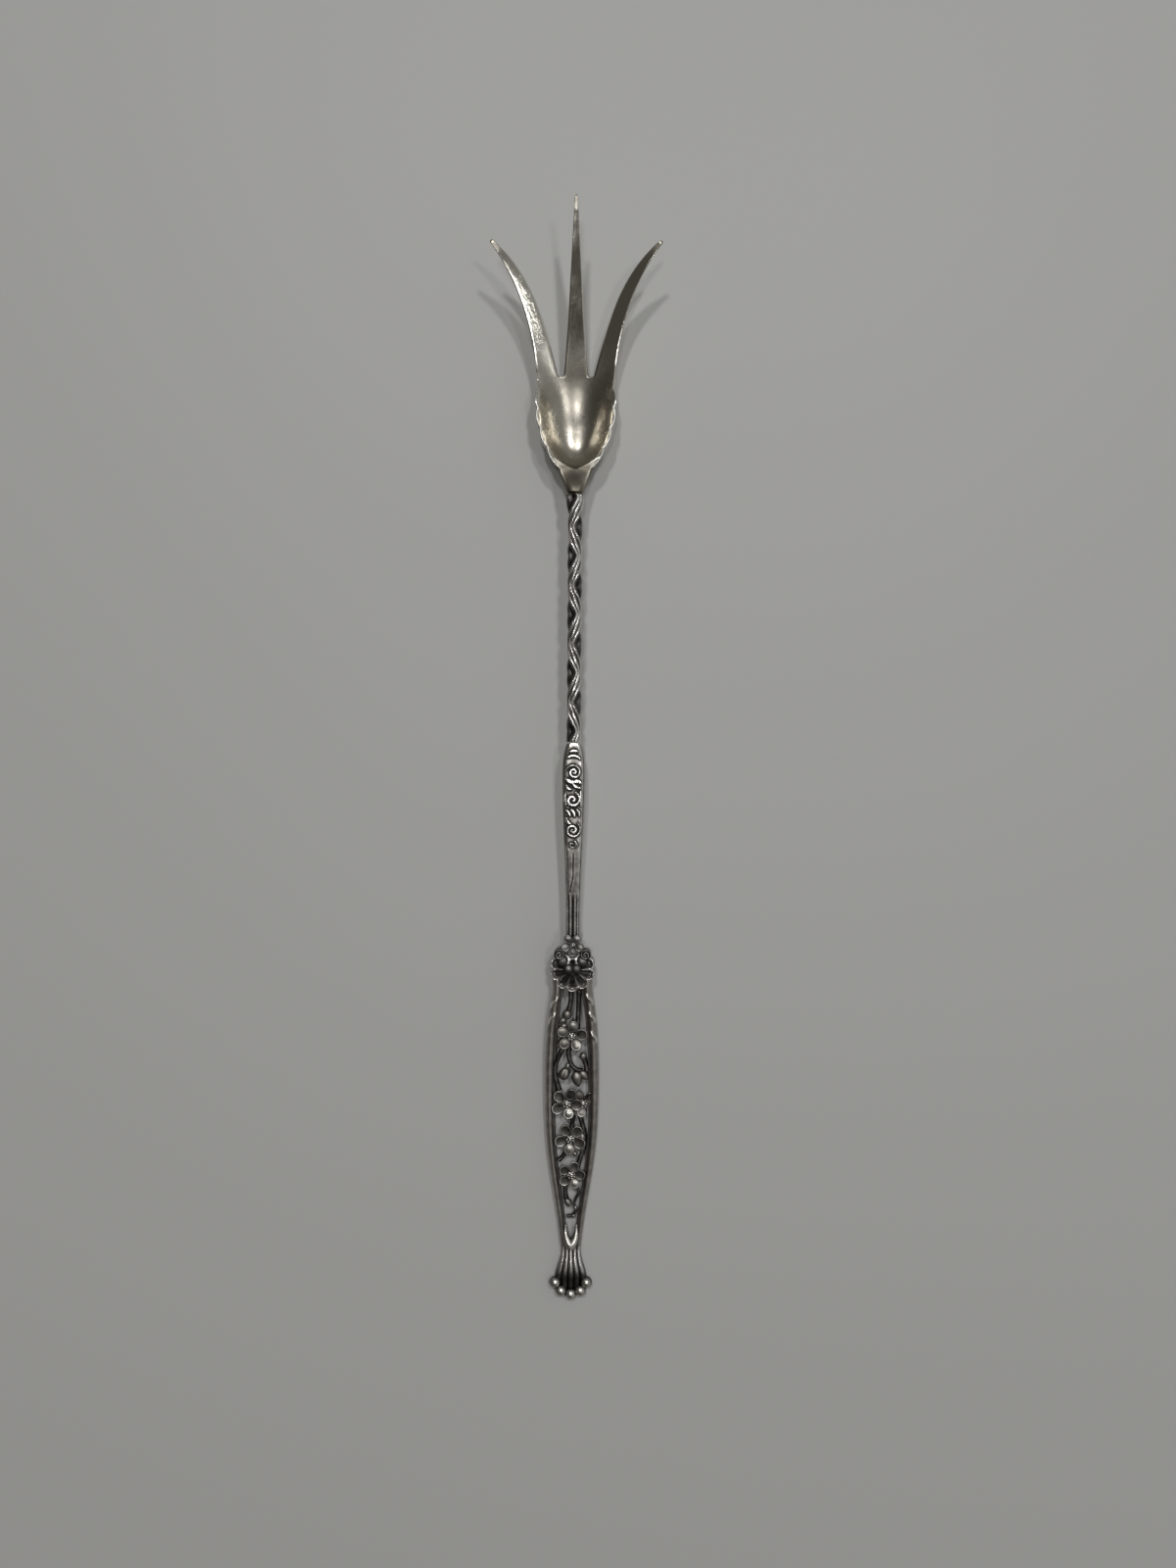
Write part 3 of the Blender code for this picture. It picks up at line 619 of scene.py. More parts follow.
@dataclass(frozen=True)
class Tine:
    """One tine, which leaves the bowl without a crease. Its runs are shares of its length."""

    side: Side
    length: float = 24.9 * MM
    slope: float = 0.22
    lift: float = 2.5 * MM
    straightness: float = 0.57
    point: float = 6.0
    lean: float = 5.9 * MM
    flare: float = 5.8 * MM
    bend: float = 3.6
    turn_run: float = 0.25
    tip_width: float = 0.7 * MM
    root_gauge: float = 1.4 * MM
    tip_gauge: float = 0.8 * MM
    edge_thinning: float = 0.45
    crown: float = 0.10 * MM
    crown_run: float = 0.25
    tip_tilt: float = 0.22
    crease_fade: float = 4.0
    bevel: float = 0.5 * MM
    bevel_from: float = 0.8
    bevel_run: float = 1 / 3
    bevel_at_tip: float = 0.4
    root_wear: float = 0.56
    main_wear: float = 0.98
    wear_run: float = 1 / 3
    tip_shade_and_dulling: float = 0.6
    tip_from: float = 0.9
    tip_run: float = 0.08
    edge_shade_and_highlight: Place = (-0.5, 0.1)
    edge_power: float = 8.0
    rows: int = 44

    def points(self, roots: Array, leaving: Array) -> Array:
        """Points of the tine beyond its root row.

        Args:
            roots: Points of the bowl's last row that the tine grows from.
            leaving: Slope of the bowl at each of them.

        Returns:
            Rows x columns x 3.
        """
        run = column(0, 1, self.rows + 1)[1:]
        left, right = roots[0, 0], roots[-1, 0]
        share = np.interp(roots[:, 0], [left, right], [-1.0, 1.0])[None, :]
        half = mix((right - left) / 2, self.tip_width / 2, mix(run ** self.point, run, self.straightness))
        narrow = half / half[0]
        bend = self.flare * run ** self.bend
        middle = (left + right) / 2 + self.side.value * (self.lean * run + bend)
        turn = np.arctan(self.side.value * (self.lean + self.bend * bend / run) / self.length)
        turn = turn * ease(run / self.turn_run)
        level = roots[:, 2].mean()
        tilt = (roots[None, :, 2] - level) * narrow * mix(1.0, self.tip_tilt, ease(run))
        z = level + tilt + self.slope * self.length * run + self.lift * run ** 2
        z = z + (leaving - self.slope)[None, :] * self.length * run * (1 - run) ** self.crease_fade
        z = z + self.crown * (1 - share ** 2) * np.minimum(run / self.crown_run, 1.0) * narrow
        edge = unit((np.abs(share) - self.bevel_from) / (1 - self.bevel_from))
        bevel = self.bevel * np.minimum(run / self.bevel_run, 1.0) * mix(1.0, self.bevel_at_tip, run)
        across = share * half
        x = middle + across * np.cos(turn)
        y = roots[0, 1] + self.length * run - across * np.sin(turn)
        return points_of(x, y, z - bevel * edge ** 2)

    def gauges(self, columns: int) -> Array:
        """Thickness, less towards the tip and the edges."""
        share = np.linspace(-1, 1, columns)[None, :]
        return column(self.root_gauge, self.tip_gauge, self.rows) * (1 - self.edge_thinning * share ** 4)

    def wear(self, columns: int) -> Array:
        """Polish, dull at the root, with painted shade at the tip and along the left edge and a faint
        painted highlight along the right edge.

        Args:
            columns: Points across the tine.

        Returns:
            Rows x columns.
        """
        run = column(0, 1, self.rows)
        share = np.linspace(-1, 1, columns)[None, :]
        along = mix(self.root_wear, self.main_wear, ease(run / self.wear_run))
        # The tip turns darker as painted shade, and rougher; the left edge gets painted shade and the right
        # edge a faint painted highlight.
        along = along - self.tip_shade_and_dulling * ease((run - self.tip_from) / self.tip_run)
        return along + mix(*self.edge_shade_and_highlight, (share + 1) / 2) * share ** self.edge_power


@dataclass
class ForkHead:
    """Scalloped bowl with three tines, and the neck that joins it to the bar."""

    neck_length: float = 5.6 * MM
    bowl_length: float = 20.3 * MM
    half_width: float = 7.95 * MM
    front_half_width: float = 8.1 * MM
    widest_before_front: float = 6.3 * MM
    apex_past_heel: float = 4.2 * MM
    taper: float = 2.1
    floor: float = 1.03 * MM
    rim_height: float = 6.5 * MM
    heel_run: float = 9.4 * MM
    heel_steepness: float = 4.0
    heel_arc: float = 2.4 * MM
    lengthwise_radius: float = 29.0 * MM
    side_round: float = 0.60
    side_power: float = 4.0
    front_rise: float = 0.62
    front_run: float = 7.0 * MM
    scallops: int = 4
    scallop_depth: float = 0.6 * MM
    scallop_end_before_front: float = 3.6 * MM
    rim_curl: float = 26.0
    bar_width: float = 2.5 * MM
    bar_top: float = 0.78
    facet_foot: float = 1.6 * MM
    neck_flare: float = 1.2
    neck_crown: float = 0.45 * MM
    gauge: float = 1.0 * MM
    rim_gauge: float = 0.5 * MM
    root_gauge: float = 1.4 * MM
    gauge_run: float = 0.25
    notch: float = 1.1 * MM
    middle_root: float = 5.2 * MM
    tines: tuple[Tine, ...] = (
        Tine(Side.LEFT),
        Tine(Side.MIDDLE, length=33.15 * MM, slope=0.345, lift=0.2 * MM, straightness=1.0),
        Tine(Side.RIGHT),
    )
    bowl_wear: float = 0.52
    neck_wear: float = 0.08
    neck_wear_end: float = 2.2 * MM
    neck_wear_fade: float = 3.5 * MM
    rim_wear: float = 0.4
    rim_wear_power: float = 10.0
    heel_crease_shade: float = 0.12
    heel_crease_shade_width: float = 0.6 * MM
    side_columns: int = 17
    notch_columns: int = 3
    middle_columns: int = 15
    column_crowding: float = 1.7
    row_crowding: float = 1.15
    neck_rows: int = 14
    bowl_rows: int = 96

    def __post_init__(self) -> None:
        """Finds the stations of the neck, heel and tine roots in the frame, and the columns across."""
        self.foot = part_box("fork_head")[0].y
        self.heel = self.foot + self.neck_length
        self.root = self.heel + self.bowl_length
        self.lowest = self.heel + self.heel_run
        inner = self.middle_root / 2 / self.front_half_width
        outer = inner + self.notch / self.front_half_width
        crowd = 1 - (1 - np.linspace(0, 1, self.side_columns)) ** self.column_crowding
        side = mix(outer, 1.0, crowd)
        gap = np.linspace(inner, outer, self.notch_columns + 2)[1:-1]
        middle = np.linspace(-inner, inner, self.middle_columns)
        self.columns = np.concatenate([-side[::-1], -gap[::-1], middle, gap, side])

    def spans(self) -> list[slice]:
        """Finds the columns that the tines grow from.

        Returns:
            Slices of the columns, from left to right.
        """
        first = self.side_columns + self.notch_columns
        last = first + self.middle_columns
        return [slice(0, self.side_columns), slice(first, last), slice(last + self.notch_columns, None)]

    def rim(self, y: Array) -> Array:
        """Half-width of the bowl without its scallops.

        Args:
            y: Places along the fork.

        Returns:
            Half-widths in metres.
        """
        widest = self.root - self.widest_before_front
        front = unit((y - widest) / self.widest_before_front)
        back = unit((widest - y) / (widest - self.heel + self.apex_past_heel))
        wide = mix(self.half_width, self.front_half_width, front ** 2)
        return np.where(y > widest, wide, self.half_width * (1 - back ** self.taper))

    def scallop(self, y: Array) -> Array:
        """How far the rim stands out, lobe by lobe.

        Args:
            y: Places along the fork.

        Returns:
            Distances in metres.
        """
        run = (y - self.heel) / (self.bowl_length - self.scallop_end_before_front)
        inside = (run > 0) & (run < 1)
        lobe = np.sqrt(np.abs(np.sin(np.pi * self.scallops * unit(run))))
        return np.where(inside, self.scallop_depth * lobe, 0.0)

    def wall(self, share: Array, y: Array) -> Array:
        """Rise of the bowl's side, which opens out towards the tines.

        Args:
            share: Shares of the half-width.
            y: Places along the fork.

        Returns:
            Shares of the height from the floor to the rim.
        """
        share = np.abs(share)
        steep = self.side_round * share ** 2 + (1 - self.side_round) * share ** self.side_power
        return mix(steep, self.front_rise * share ** 2, ease((y - self.root) / self.front_run + 1))

    def heel_rise(self, y: Array, share: Array) -> Array:
        """Rise of the floor towards the heel, as a share of the height from the floor to the rim."""
        return unit((self.lowest - y + self.heel_arc * share ** 2) / self.heel_run) ** self.heel_steepness

    def front_floor(self, y: Array) -> Array:
        """Height of the floor, which rises in an arc towards the tines."""
        return self.floor + np.clip(y - self.lowest, 0.0, None) ** 2 / (2 * self.lengthwise_radius)

    def leaving(self, span: slice) -> Array:
        """Slope of the bowl at its front, at some of its columns."""
        middle = (self.root - self.lowest) / self.lengthwise_radius
        return middle * (1 - self.wall(self.columns[span], self.root))

    def rim_level(self, y: Array) -> Array:
        """Height of the bowl's rim."""
        floor = self.front_floor(y)
        return floor + (self.rim_height - floor) * self.wall(np.array(1.0), y)

    def neck_edge(self, y: Array) -> Array:
        """Half-width of the neck's facet."""
        run = unit((y - self.foot) / self.neck_length)
        return mix(self.facet_foot, self.rim(np.array(self.heel)), run ** self.neck_flare)

    def neck_level(self, y: Array) -> Array:
        """Height of the neck's facet."""
        run = unit((y - self.foot) / self.neck_length)
        return mix(SPINE.rise + self.bar_top * self.bar_width, self.rim_height, ease(run))

    def bowl(self) -> Array:
        """Makes the points of the bowl's inside.

        Returns:
            Rows from heel to tine roots x columns x 3.
        """
        y = mix(self.heel, self.root, column(0, 1, self.bowl_rows) ** self.row_crowding)
        share = self.columns[None, :]
        floor = self.front_floor(y) + (self.rim_height - self.floor) * self.heel_rise(y, share)
        z = floor + (self.rim_height - floor) * self.wall(share, y)
        x = share * self.rim(y) + np.sign(share) * self.scallop(y) * np.abs(share) ** self.rim_curl
        return points_of(x, y, z)

    def neck(self) -> Array:
        """Makes the points of the neck's facet.

        Returns:
            Rows from the bar to just before the heel x columns x 3.
        """
        run = np.linspace(0, 1, self.neck_rows, endpoint=False)[:, None]
        share = self.columns[None, :]
        y = mix(self.foot, self.heel, run)
        crown = self.neck_crown * (1 - share ** 2) * (1 - run ** 2)
        return points_of(share * self.neck_edge(y), y, self.neck_level(y) + crown)

    def gauges(self) -> Array:
        """Thickness of the neck and bowl: stout at the bar and the roots, thin along the rim.

        Returns:
            Rows x columns.
        """
        run = np.concatenate([np.zeros(self.neck_rows), np.linspace(0, 1, self.bowl_rows)])[:, None]
        thick = mix(self.root_gauge, self.gauge, ease(run / self.gauge_run))
        thick = mix(thick, self.root_gauge, ease((run - 1) / self.gauge_run + 1))
        near_bar = unit(1 - np.arange(len(run)) / self.neck_rows)[:, None]
        thick = mix(thick, self.bar_width, near_bar)
        edge = mix(self.rim_gauge, self.bar_width, near_bar)
        return mix(thick, edge, self.columns[None, :] ** 4)

    def wear(self, past_heel: Array) -> Array:
        """Polish of the neck and bowl: bright on the rim, dull in the neck, with a band of painted shade
        where the heel starts.

        Args:
            past_heel: How far each point lies past the heel.

        Returns:
            Rows x columns.
        """
        neck = ease((self.neck_wear_end - past_heel) / self.neck_wear_fade)
        rim = self.rim_wear * np.abs(self.columns[None, :]) ** self.rim_wear_power
        # Painted shade: a narrow dark band where the heel starts.
        heel_crease_shade = self.heel_crease_shade * bell(past_heel, self.heel_crease_shade_width)
        return mix(self.bowl_wear, self.neck_wear, neck) + rim - heel_crease_shade

    def build(self) -> None:
        """Makes neck, bowl and tines as one sheet."""
        sheet = Sheet()
        body = np.concatenate([self.neck(), self.bowl()])
        numbers = sheet.add(body, self.gauges(), self.wear(body[:, :, 1] - self.heel))
        for tine, span in zip(self.tines, self.spans()):
            points = tine.points(body[-1, span], self.leaving(span))
            across = points.shape[1]
            sheet.add(points, tine.gauges(across), tine.wear(across), numbers[-1, span])
        piece = sheet.thicken("fork_head_silver", self.bar_width)
        dress(piece, POLISHED, np.concatenate(sheet.wears), "fork_head")


@dataclass
class RimBead:
    """Rolled edge of the bowl: a thin bead on each side, from the middle of the neck to near the tines."""

    head: ForkHead
    radius: float = 0.30 * MM
    start_in_neck: float = 0.5
    end_past_scallops: float = 0.6
    end_radius: float = 0.1
    start_fade: float = 0.35
    end_fade: float = 0.12
    least_wear: float = 0.6
    more_wear: float = 0.3
    rows: int = 260
    sides: int = 12

    def build(self) -> None:
        """Makes the two beads as one piece."""
        head = self.head
        share = np.linspace(0, 1, self.rows)
        start = head.foot + self.start_in_neck * head.neck_length
        end = head.root - (1 - self.end_past_scallops) * head.scallop_end_before_front
        y = mix(start, end, share)
        edge = np.where(y < head.heel, head.neck_edge(y), head.rim(y) + head.scallop(y))
        level = np.where(y < head.heel, head.neck_level(y), head.rim_level(y))
        full = ease(np.minimum(share / self.start_fade, (1 - share) / self.end_fade))
        body = Body()
        for side in BOTH_SIDES:
            path = np.stack([side.value * (edge - self.radius / 2), y, level], axis=1)
            body.tube(path, self.radius * mix(self.end_radius, 1.0, full), 1.0, self.sides)
        wear = np.maximum(body.wear(), self.least_wear) + self.more_wear
        dress(body.to_object("bowl_rim_bead"), BRIGHT, wear)


@dataclass
class Keel:
    """Keel under the neck that runs out on the back of the bowl's heel."""

    head: ForkHead
    overrun: float = 3.4 * MM
    swell: float = 0.5 * MM
    bluntness: float = 0.8
    end_width: float = 0.3
    sunk: Place = (0.15 * MM, 0.55 * MM)
    sunk_run: float = 1 / 3
    wear: float = 0.30
    rows: int = 48
    around: int = 40

    def build(self) -> None:
        """Makes the keel."""
        head = self.head
        run = column(0, 1, self.rows)
        y = mix(head.foot, head.heel + self.overrun, run)
        past = unit((y - head.heel) / self.overrun)
        facet = np.where(y < head.heel, head.neck_edge(y), head.rim(np.maximum(y, head.heel)))
        wide = facet + self.swell * np.sin(np.pi * run) ** self.bluntness
        wide = wide * mix(1.0, self.end_width, ease(past))
        inside = head.floor + (head.rim_height - head.floor) * head.heel_rise(y, 0.0)
        top = np.where(y < head.heel, head.neck_level(y), inside)
        top = top - mix(*self.sunk, ease(past / self.sunk_run))
        low = mix(SPINE.rise, head.floor, ease(run))
        angle = turn_round(self.around)
        x = wide * blunt(np.cos(angle), self.bluntness)
        z = (top + low) / 2 + (top - low) / 2 * blunt(np.sin(angle), self.bluntness)
        body = Body()
        body.loft(points_of(x, y, z), self.wear)
        body.make("neck_flanks", POLISHED)


@dataclass
class TwistedShank:
    """Square bar twisted to and fro, with two reeded and two hollow faces."""

    half_width: float = 1.25 * MM
    squareness: float = 5.0
    reed_face: float = math.radians(6)
    reeds: int = 2
    reed_depth: float = 0.40 * MM
    reed_sharpness: float = 1.8
    hollow: float = 0.22 * MM
    swing: float = math.radians(63)
    swing_sharpness: float = 0.97
    bend_spacing: float = 6.1 * MM
    first_bend: float = 13.0 * MM
    head_swell: float = 1.3
    swell_run: float = 4.0 * MM
    reed_wear: Place = (1.05, -0.25)
    hollow_wear: Place = (0.60, 0.18)
    rows: int = 420
    around: int = 96

    def turn(self, y: Array) -> Array:
        """Angle of the bar at a station; it swings from one side to the other."""
        wave = np.cos(np.pi * (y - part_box("twisted_shank")[1].y + self.first_bend) / self.bend_spacing)
        return self.swing * np.arcsin(self.swing_sharpness * wave) / np.arcsin(self.swing_sharpness)

    def build(self) -> None:
        """Makes the bar and blackens its grooves."""
        low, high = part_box("twisted_shank")
        y = column(low.y, high.y, self.rows)
        angle = turn_round(self.around)
        own = angle - self.reed_face
        power = self.squareness
        swell = mix(1.0, self.head_swell, ease((y - high.y) / self.swell_run + 1))
        square = np.abs(np.cos(own)) ** power + np.abs(np.sin(own)) ** power
        radius = self.half_width * square ** (-1 / power)
        off_face = (own + np.pi / 4) % (np.pi / 2) - np.pi / 4
        reeded = np.cos(2 * own) > 0
        reed = (1 - np.abs(np.cos(2 * self.reeds * off_face))) ** self.reed_sharpness
        hollow = np.cos(2 * off_face) ** 2
        radius = radius - np.where(reeded, self.reed_depth * reed, self.hollow * hollow)
        wear = np.where(reeded, mix(*self.reed_wear, reed), mix(*self.hollow_wear, hollow ** 0.5))
        facing = angle + self.turn(y)
        x = radius * swell * np.sin(facing)
        z = SPINE.height(y) + self.half_width + radius * np.cos(facing)
        body = Body()
        body.loft(points_of(x, y, z), wear)
        body.make("twisted_bar", CHASED, "twisted_shank")


@dataclass(frozen=True)
class Stroke:
    """Raised stroke of chased ornament; it swells in the middle and thins at its ends."""

    path: Array
    width: float
    end_width: float = 0.55
    steepness: float = 1.5

    def rise(self, x: Array, y: Array) -> Array:
        """Height of the stroke at points of the ground.

        Args:
            x: Places across.
            y: Places along.

        Returns:
            Shares of the relief.
        """
        swell = np.sin(np.pi * np.linspace(0, 1, len(self.path)))
        widths = self.width * mix(self.end_width, 1.0, swell)
        gaps = np.hypot(x[..., None] - self.path[:, 0], y[..., None] - self.path[:, 1])
        return np.minimum(self.steepness * dome((gaps / widths).min(axis=-1)), 1.0)


def sweep(width: float, *places: Place) -> Stroke:
    """Stroke of some width through places, all in millimetres."""
    return Stroke(curve_through(np.array(places), SWEEP_STEPS) * MM, width * MM)


def curl(width: float, centre: Place, radii: Place, start: float, turn: float) -> Stroke:
    """Spiral stroke, with its lengths in millimetres.

    Args:
        width: Width of the stroke.
        centre: Middle of the spiral.
        radii: Radius where it starts and where it ends.
        start: Direction in which it starts, in degrees.
        turn: How far it winds, in degrees.

    Returns:
        The stroke.
    """
    share = np.linspace(0, 1, CURL_STEPS)
    angle = np.radians(start + turn * share)
    radius = mix(*radii, share ** CURL_POWER)[:, None]
    path = np.array(centre) + radius * np.stack([np.cos(angle), np.sin(angle)], axis=1)
    return Stroke(path * MM, width * MM)


@dataclass
class ScrollPanel:
    """Chased panel: scrolls and leaves on a blackened ground, then a plain stem and three reeds."""

    height: float = 2.5 * MM
    foot_width: float = 2.8 * MM
    widest: float = 4.6 * MM
    widest_at: float = 0.83
    narrow_end: float = 0.16
    head_round: float = 3.2
    shoulder: float = 0.60
    top_power: float = 5.0
    relief: float = 0.34 * MM
    ground: float = 0.55
    ornament_length: float = 22.5 * MM
    ornament_fade: float = 1.5 * MM
    border_at: float = 0.90
    border_fade: float = 0.08
    border_width: float = 0.05
    border_depth: float = 0.14 * MM
    stem_from: float = 23.0 * MM
    stem_to: float = 31.8 * MM
    stem_fade: float = 0.8 * MM
    stem_line: tuple[Place, ...] = ((-31.4, -0.6), (-28.0, 0.05), (-23.5, 0.05))
    line_width: float = 0.09 * MM
    line_depth: float = 0.16 * MM
    reeds: int = 3
    reeds_from: float = 31.5 * MM
    reeds_fade: float = 2.0 * MM
    reed_depth: float = 0.20 * MM
    reed_power: float = 3.0
    stem_dulling: float = 0.22
    stem_dulling_from: float = 21.5 * MM
    stem_dulling_run: float = 4.0 * MM
    margin_dulling: float = 0.6
    margin_from: float = 0.86
    margin_run: float = 0.06
    rows: int = 560
    top_columns: int = 64
    back_columns: int = 20

    def ornament(self) -> list[Stroke]:
        """Lists the strokes of the chasing.

        Returns:
            Strokes from the head down, with places below the head as negative values.
        """
        return [
            sweep(0.26, (-0.8, -1.75), (0.1, -1.55), (0.95, -1.7)),
            sweep(0.30, (-1.35, -2.95), (-0.2, -2.65), (0.9, -2.8), (1.45, -3.3)),
            curl(0.24, (0.12, -6.1), (1.75, 0.15), 165, -640),
            sweep(0.42, (-1.6, -7.5), (-0.8, -8.0), (0.1, -8.15)),
            sweep(0.42, (0.1, -8.1), (0.9, -8.0), (1.65, -8.4)),
            sweep(0.34, (-0.1, -8.5), (0.5, -9.1), (1.4, -9.4)),
            sweep(0.30, (-1.5, -8.8), (-1.1, -9.5), (-0.4, -9.7)),
            curl(0.30, (-0.15, -11.9), (1.75, 0.2), 70, -520),
            sweep(0.36, (1.55, -10.0), (1.7, -11.5), (1.6, -13.2)),
            sweep(0.26, (-1.7, -10.5), (-1.75, -11.8), (-1.5, -13.0)),
            sweep(0.30, (-1.5, -14.1), (-1.0, -14.5), (-0.6, -15.3)),
            sweep(0.32, (-0.5, -13.9), (0.1, -14.5), (0.3, -15.4)),
            sweep(0.30, (0.7, -13.9), (1.2, -14.5), (1.3, -15.3)),
            sweep(0.34, (-1.5, -15.7), (-1.2, -16.5), (-0.6, -17.0)),
            curl(0.26, (-0.1, -18.3), (1.8, 0.18), 55, -640),
            curl(0.20, (-0.2, -21.4), (0.95, 0.2), 60, -430),
            sweep(0.16, (0.5, -20.6), (0.9, -21.6), (0.2, -22.9)),
        ]

    def half_width(self, run: Array) -> Array:
        """Half-width of the panel.

        Args:
            run: Places from the foot (0) to the head (1).

        Returns:
            Half-widths in metres.
        """
        to_head = unit((run - self.widest_at) / (1 - self.widest_at))
        from_foot = ease((run - self.narrow_end) / (self.widest_at - self.narrow_end))
        wide = mix(self.foot_width, self.widest, from_foot)
        head = mix(self.widest, self.foot_width, to_head ** self.head_round)
        return np.where(run > self.widest_at, head, wide) / 2

    def carving(self, x: Array, down: Array, side: Array) -> Array:
        """Height of the carving over the plain cushion form.

        Args:
            x: Places across.
            down: Places along, from the head downwards, as negative values.
            side: Share of the half-width.

        Returns:
            Heights in metres.
        """
        rise = np.zeros_like(x)
        for stroke in self.ornament():
            low, high = stroke.path[:, 1].min() - MM, stroke.path[:, 1].max() + MM
            near = (down > low) & (down < high)
            rise[near] = np.maximum(rise[near], stroke.rise(x[near], down[near]))
        field_end = ease((down + self.ornament_length) / self.ornament_fade)
        inside = ease((self.border_at - np.abs(side)) / self.border_fade)
        height = self.relief * (rise - self.ground) * field_end * inside
        height -= self.border_depth * bell(np.abs(side) - self.border_at, self.border_width)
        line = np.interp(down, *np.array(self.stem_line).T * MM)
        on_stem = ease((-down - self.stem_from) / self.stem_fade)
        on_stem = on_stem * ease((self.stem_to + down) / self.stem_fade)
        height -= self.line_depth * on_stem * bell(x - line, self.line_width)
        reeded = ease((-down - self.reeds_from) / self.reeds_fade)
        groove = np.abs(np.cos(self.reeds / 2 * np.pi * side)) ** self.reed_power
        return height - self.reed_depth * reeded * groove

    def build(self) -> None:
        """Makes the panel with its carving and blackens the ground."""
        low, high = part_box("scroll_panel")
        length = high.y - low.y
        y = column(low.y, high.y, self.rows)
        wide = self.half_width((y - low.y) / length)
        side = np.linspace(-1, 1, self.top_columns)[None, :]
        x = wide * side
        round_top = (1 - np.abs(side) ** self.top_power) ** 0.5
        z = SPINE.height(y) + self.height * mix(self.shoulder, 1.0, round_top)
        z = z + self.carving(x, np.broadcast_to(y - high.y, x.shape), np.broadcast_to(side, x.shape))
        angle = np.linspace(0, np.pi, self.back_columns + 2)[None, 1:-1]
        back_z = SPINE.height(y) + self.height * self.shoulder * (1 - np.sin(angle))
        across = np.concatenate([x, wide * np.cos(angle)], axis=1)
        body = Body()
        body.loft(points_of(across, y, np.concatenate([z, back_z], axis=1)))
        panel = body.to_object("chased_panel")
        points = np.concatenate(body.points)
        down = high.y - points[:, 1]
        margin = np.abs(points[:, 0]) / self.half_width((points[:, 1] - low.y) / length)
        wear = Patina().wear(panel.data)
        wear = wear - self.stem_dulling * ease((down - self.stem_dulling_from) / self.stem_dulling_run)
        wear = wear - self.margin_dulling * ease((margin - self.margin_from) / self.margin_run)
        dress(panel, CHASED, unit(wear), "scroll_panel")


@dataclass(frozen=True)
class Volute:
    """Snail-shaped button with a spiral groove, at a place in millimetres from the boss's middle."""

    side: Side
    place: Place = (2.75, 3.35)
    radius: float = 1.2 * MM
    foot: float = 0.2 * MM
    edge: float = 1.9 * MM
    height: float = 2.55 * MM
    crown: float = 0.75 * MM
    groove: float = 0.16 * MM
    groove_fade: float = 0.25
    turns: float = 2.2
    start: float = 0.9
    fullness: float = 0.98
    crown_power: float = 0.8
    wear: Place = (0.10, 1.0)
    wear_spread: float = 0.9
    back_from: float = 0.1
    innermost: float = 0.03
    back_rows: int = 4
    front_rows: int = 36
    around: int = 64

    def add_to(self, body: Body, middle: float) -> None:
        """Adds the volute to a mesh.

        Args:
            body: Mesh to add to.
            middle: Place of the boss's middle along the fork.
        """
        angle = turn_round(self.around)
        back = column(self.back_from, 1, self.back_rows)
        share = np.concatenate([back, column(1, self.innermost, self.front_rows)])
        front = np.arange(len(share))[:, None] >= self.back_rows
        winding = np.pi - angle if self.side is Side.LEFT else angle
        groove = np.cos(2 * np.pi * self.turns * share + winding - self.start)
        rise = self.height + self.crown * dome(self.fullness * share) ** self.crown_power
        rise = rise + self.groove * groove * ease((1 - share) / self.groove_fade)
        x = self.side.value * self.place[0] * MM + self.radius * share * np.cos(angle)
        y = middle + self.place[1] * MM + self.radius * share * np.sin(angle)
        z = SPINE.height(y) + np.where(front, np.where(share >= 1, self.edge, rise), self.foot)
        wear = np.where(front, mix(*self.wear, (groove + 1) / 2), 0.0) * dome(self.wear_spread * share)
        body.loft(points_of(x, y, z), wear)


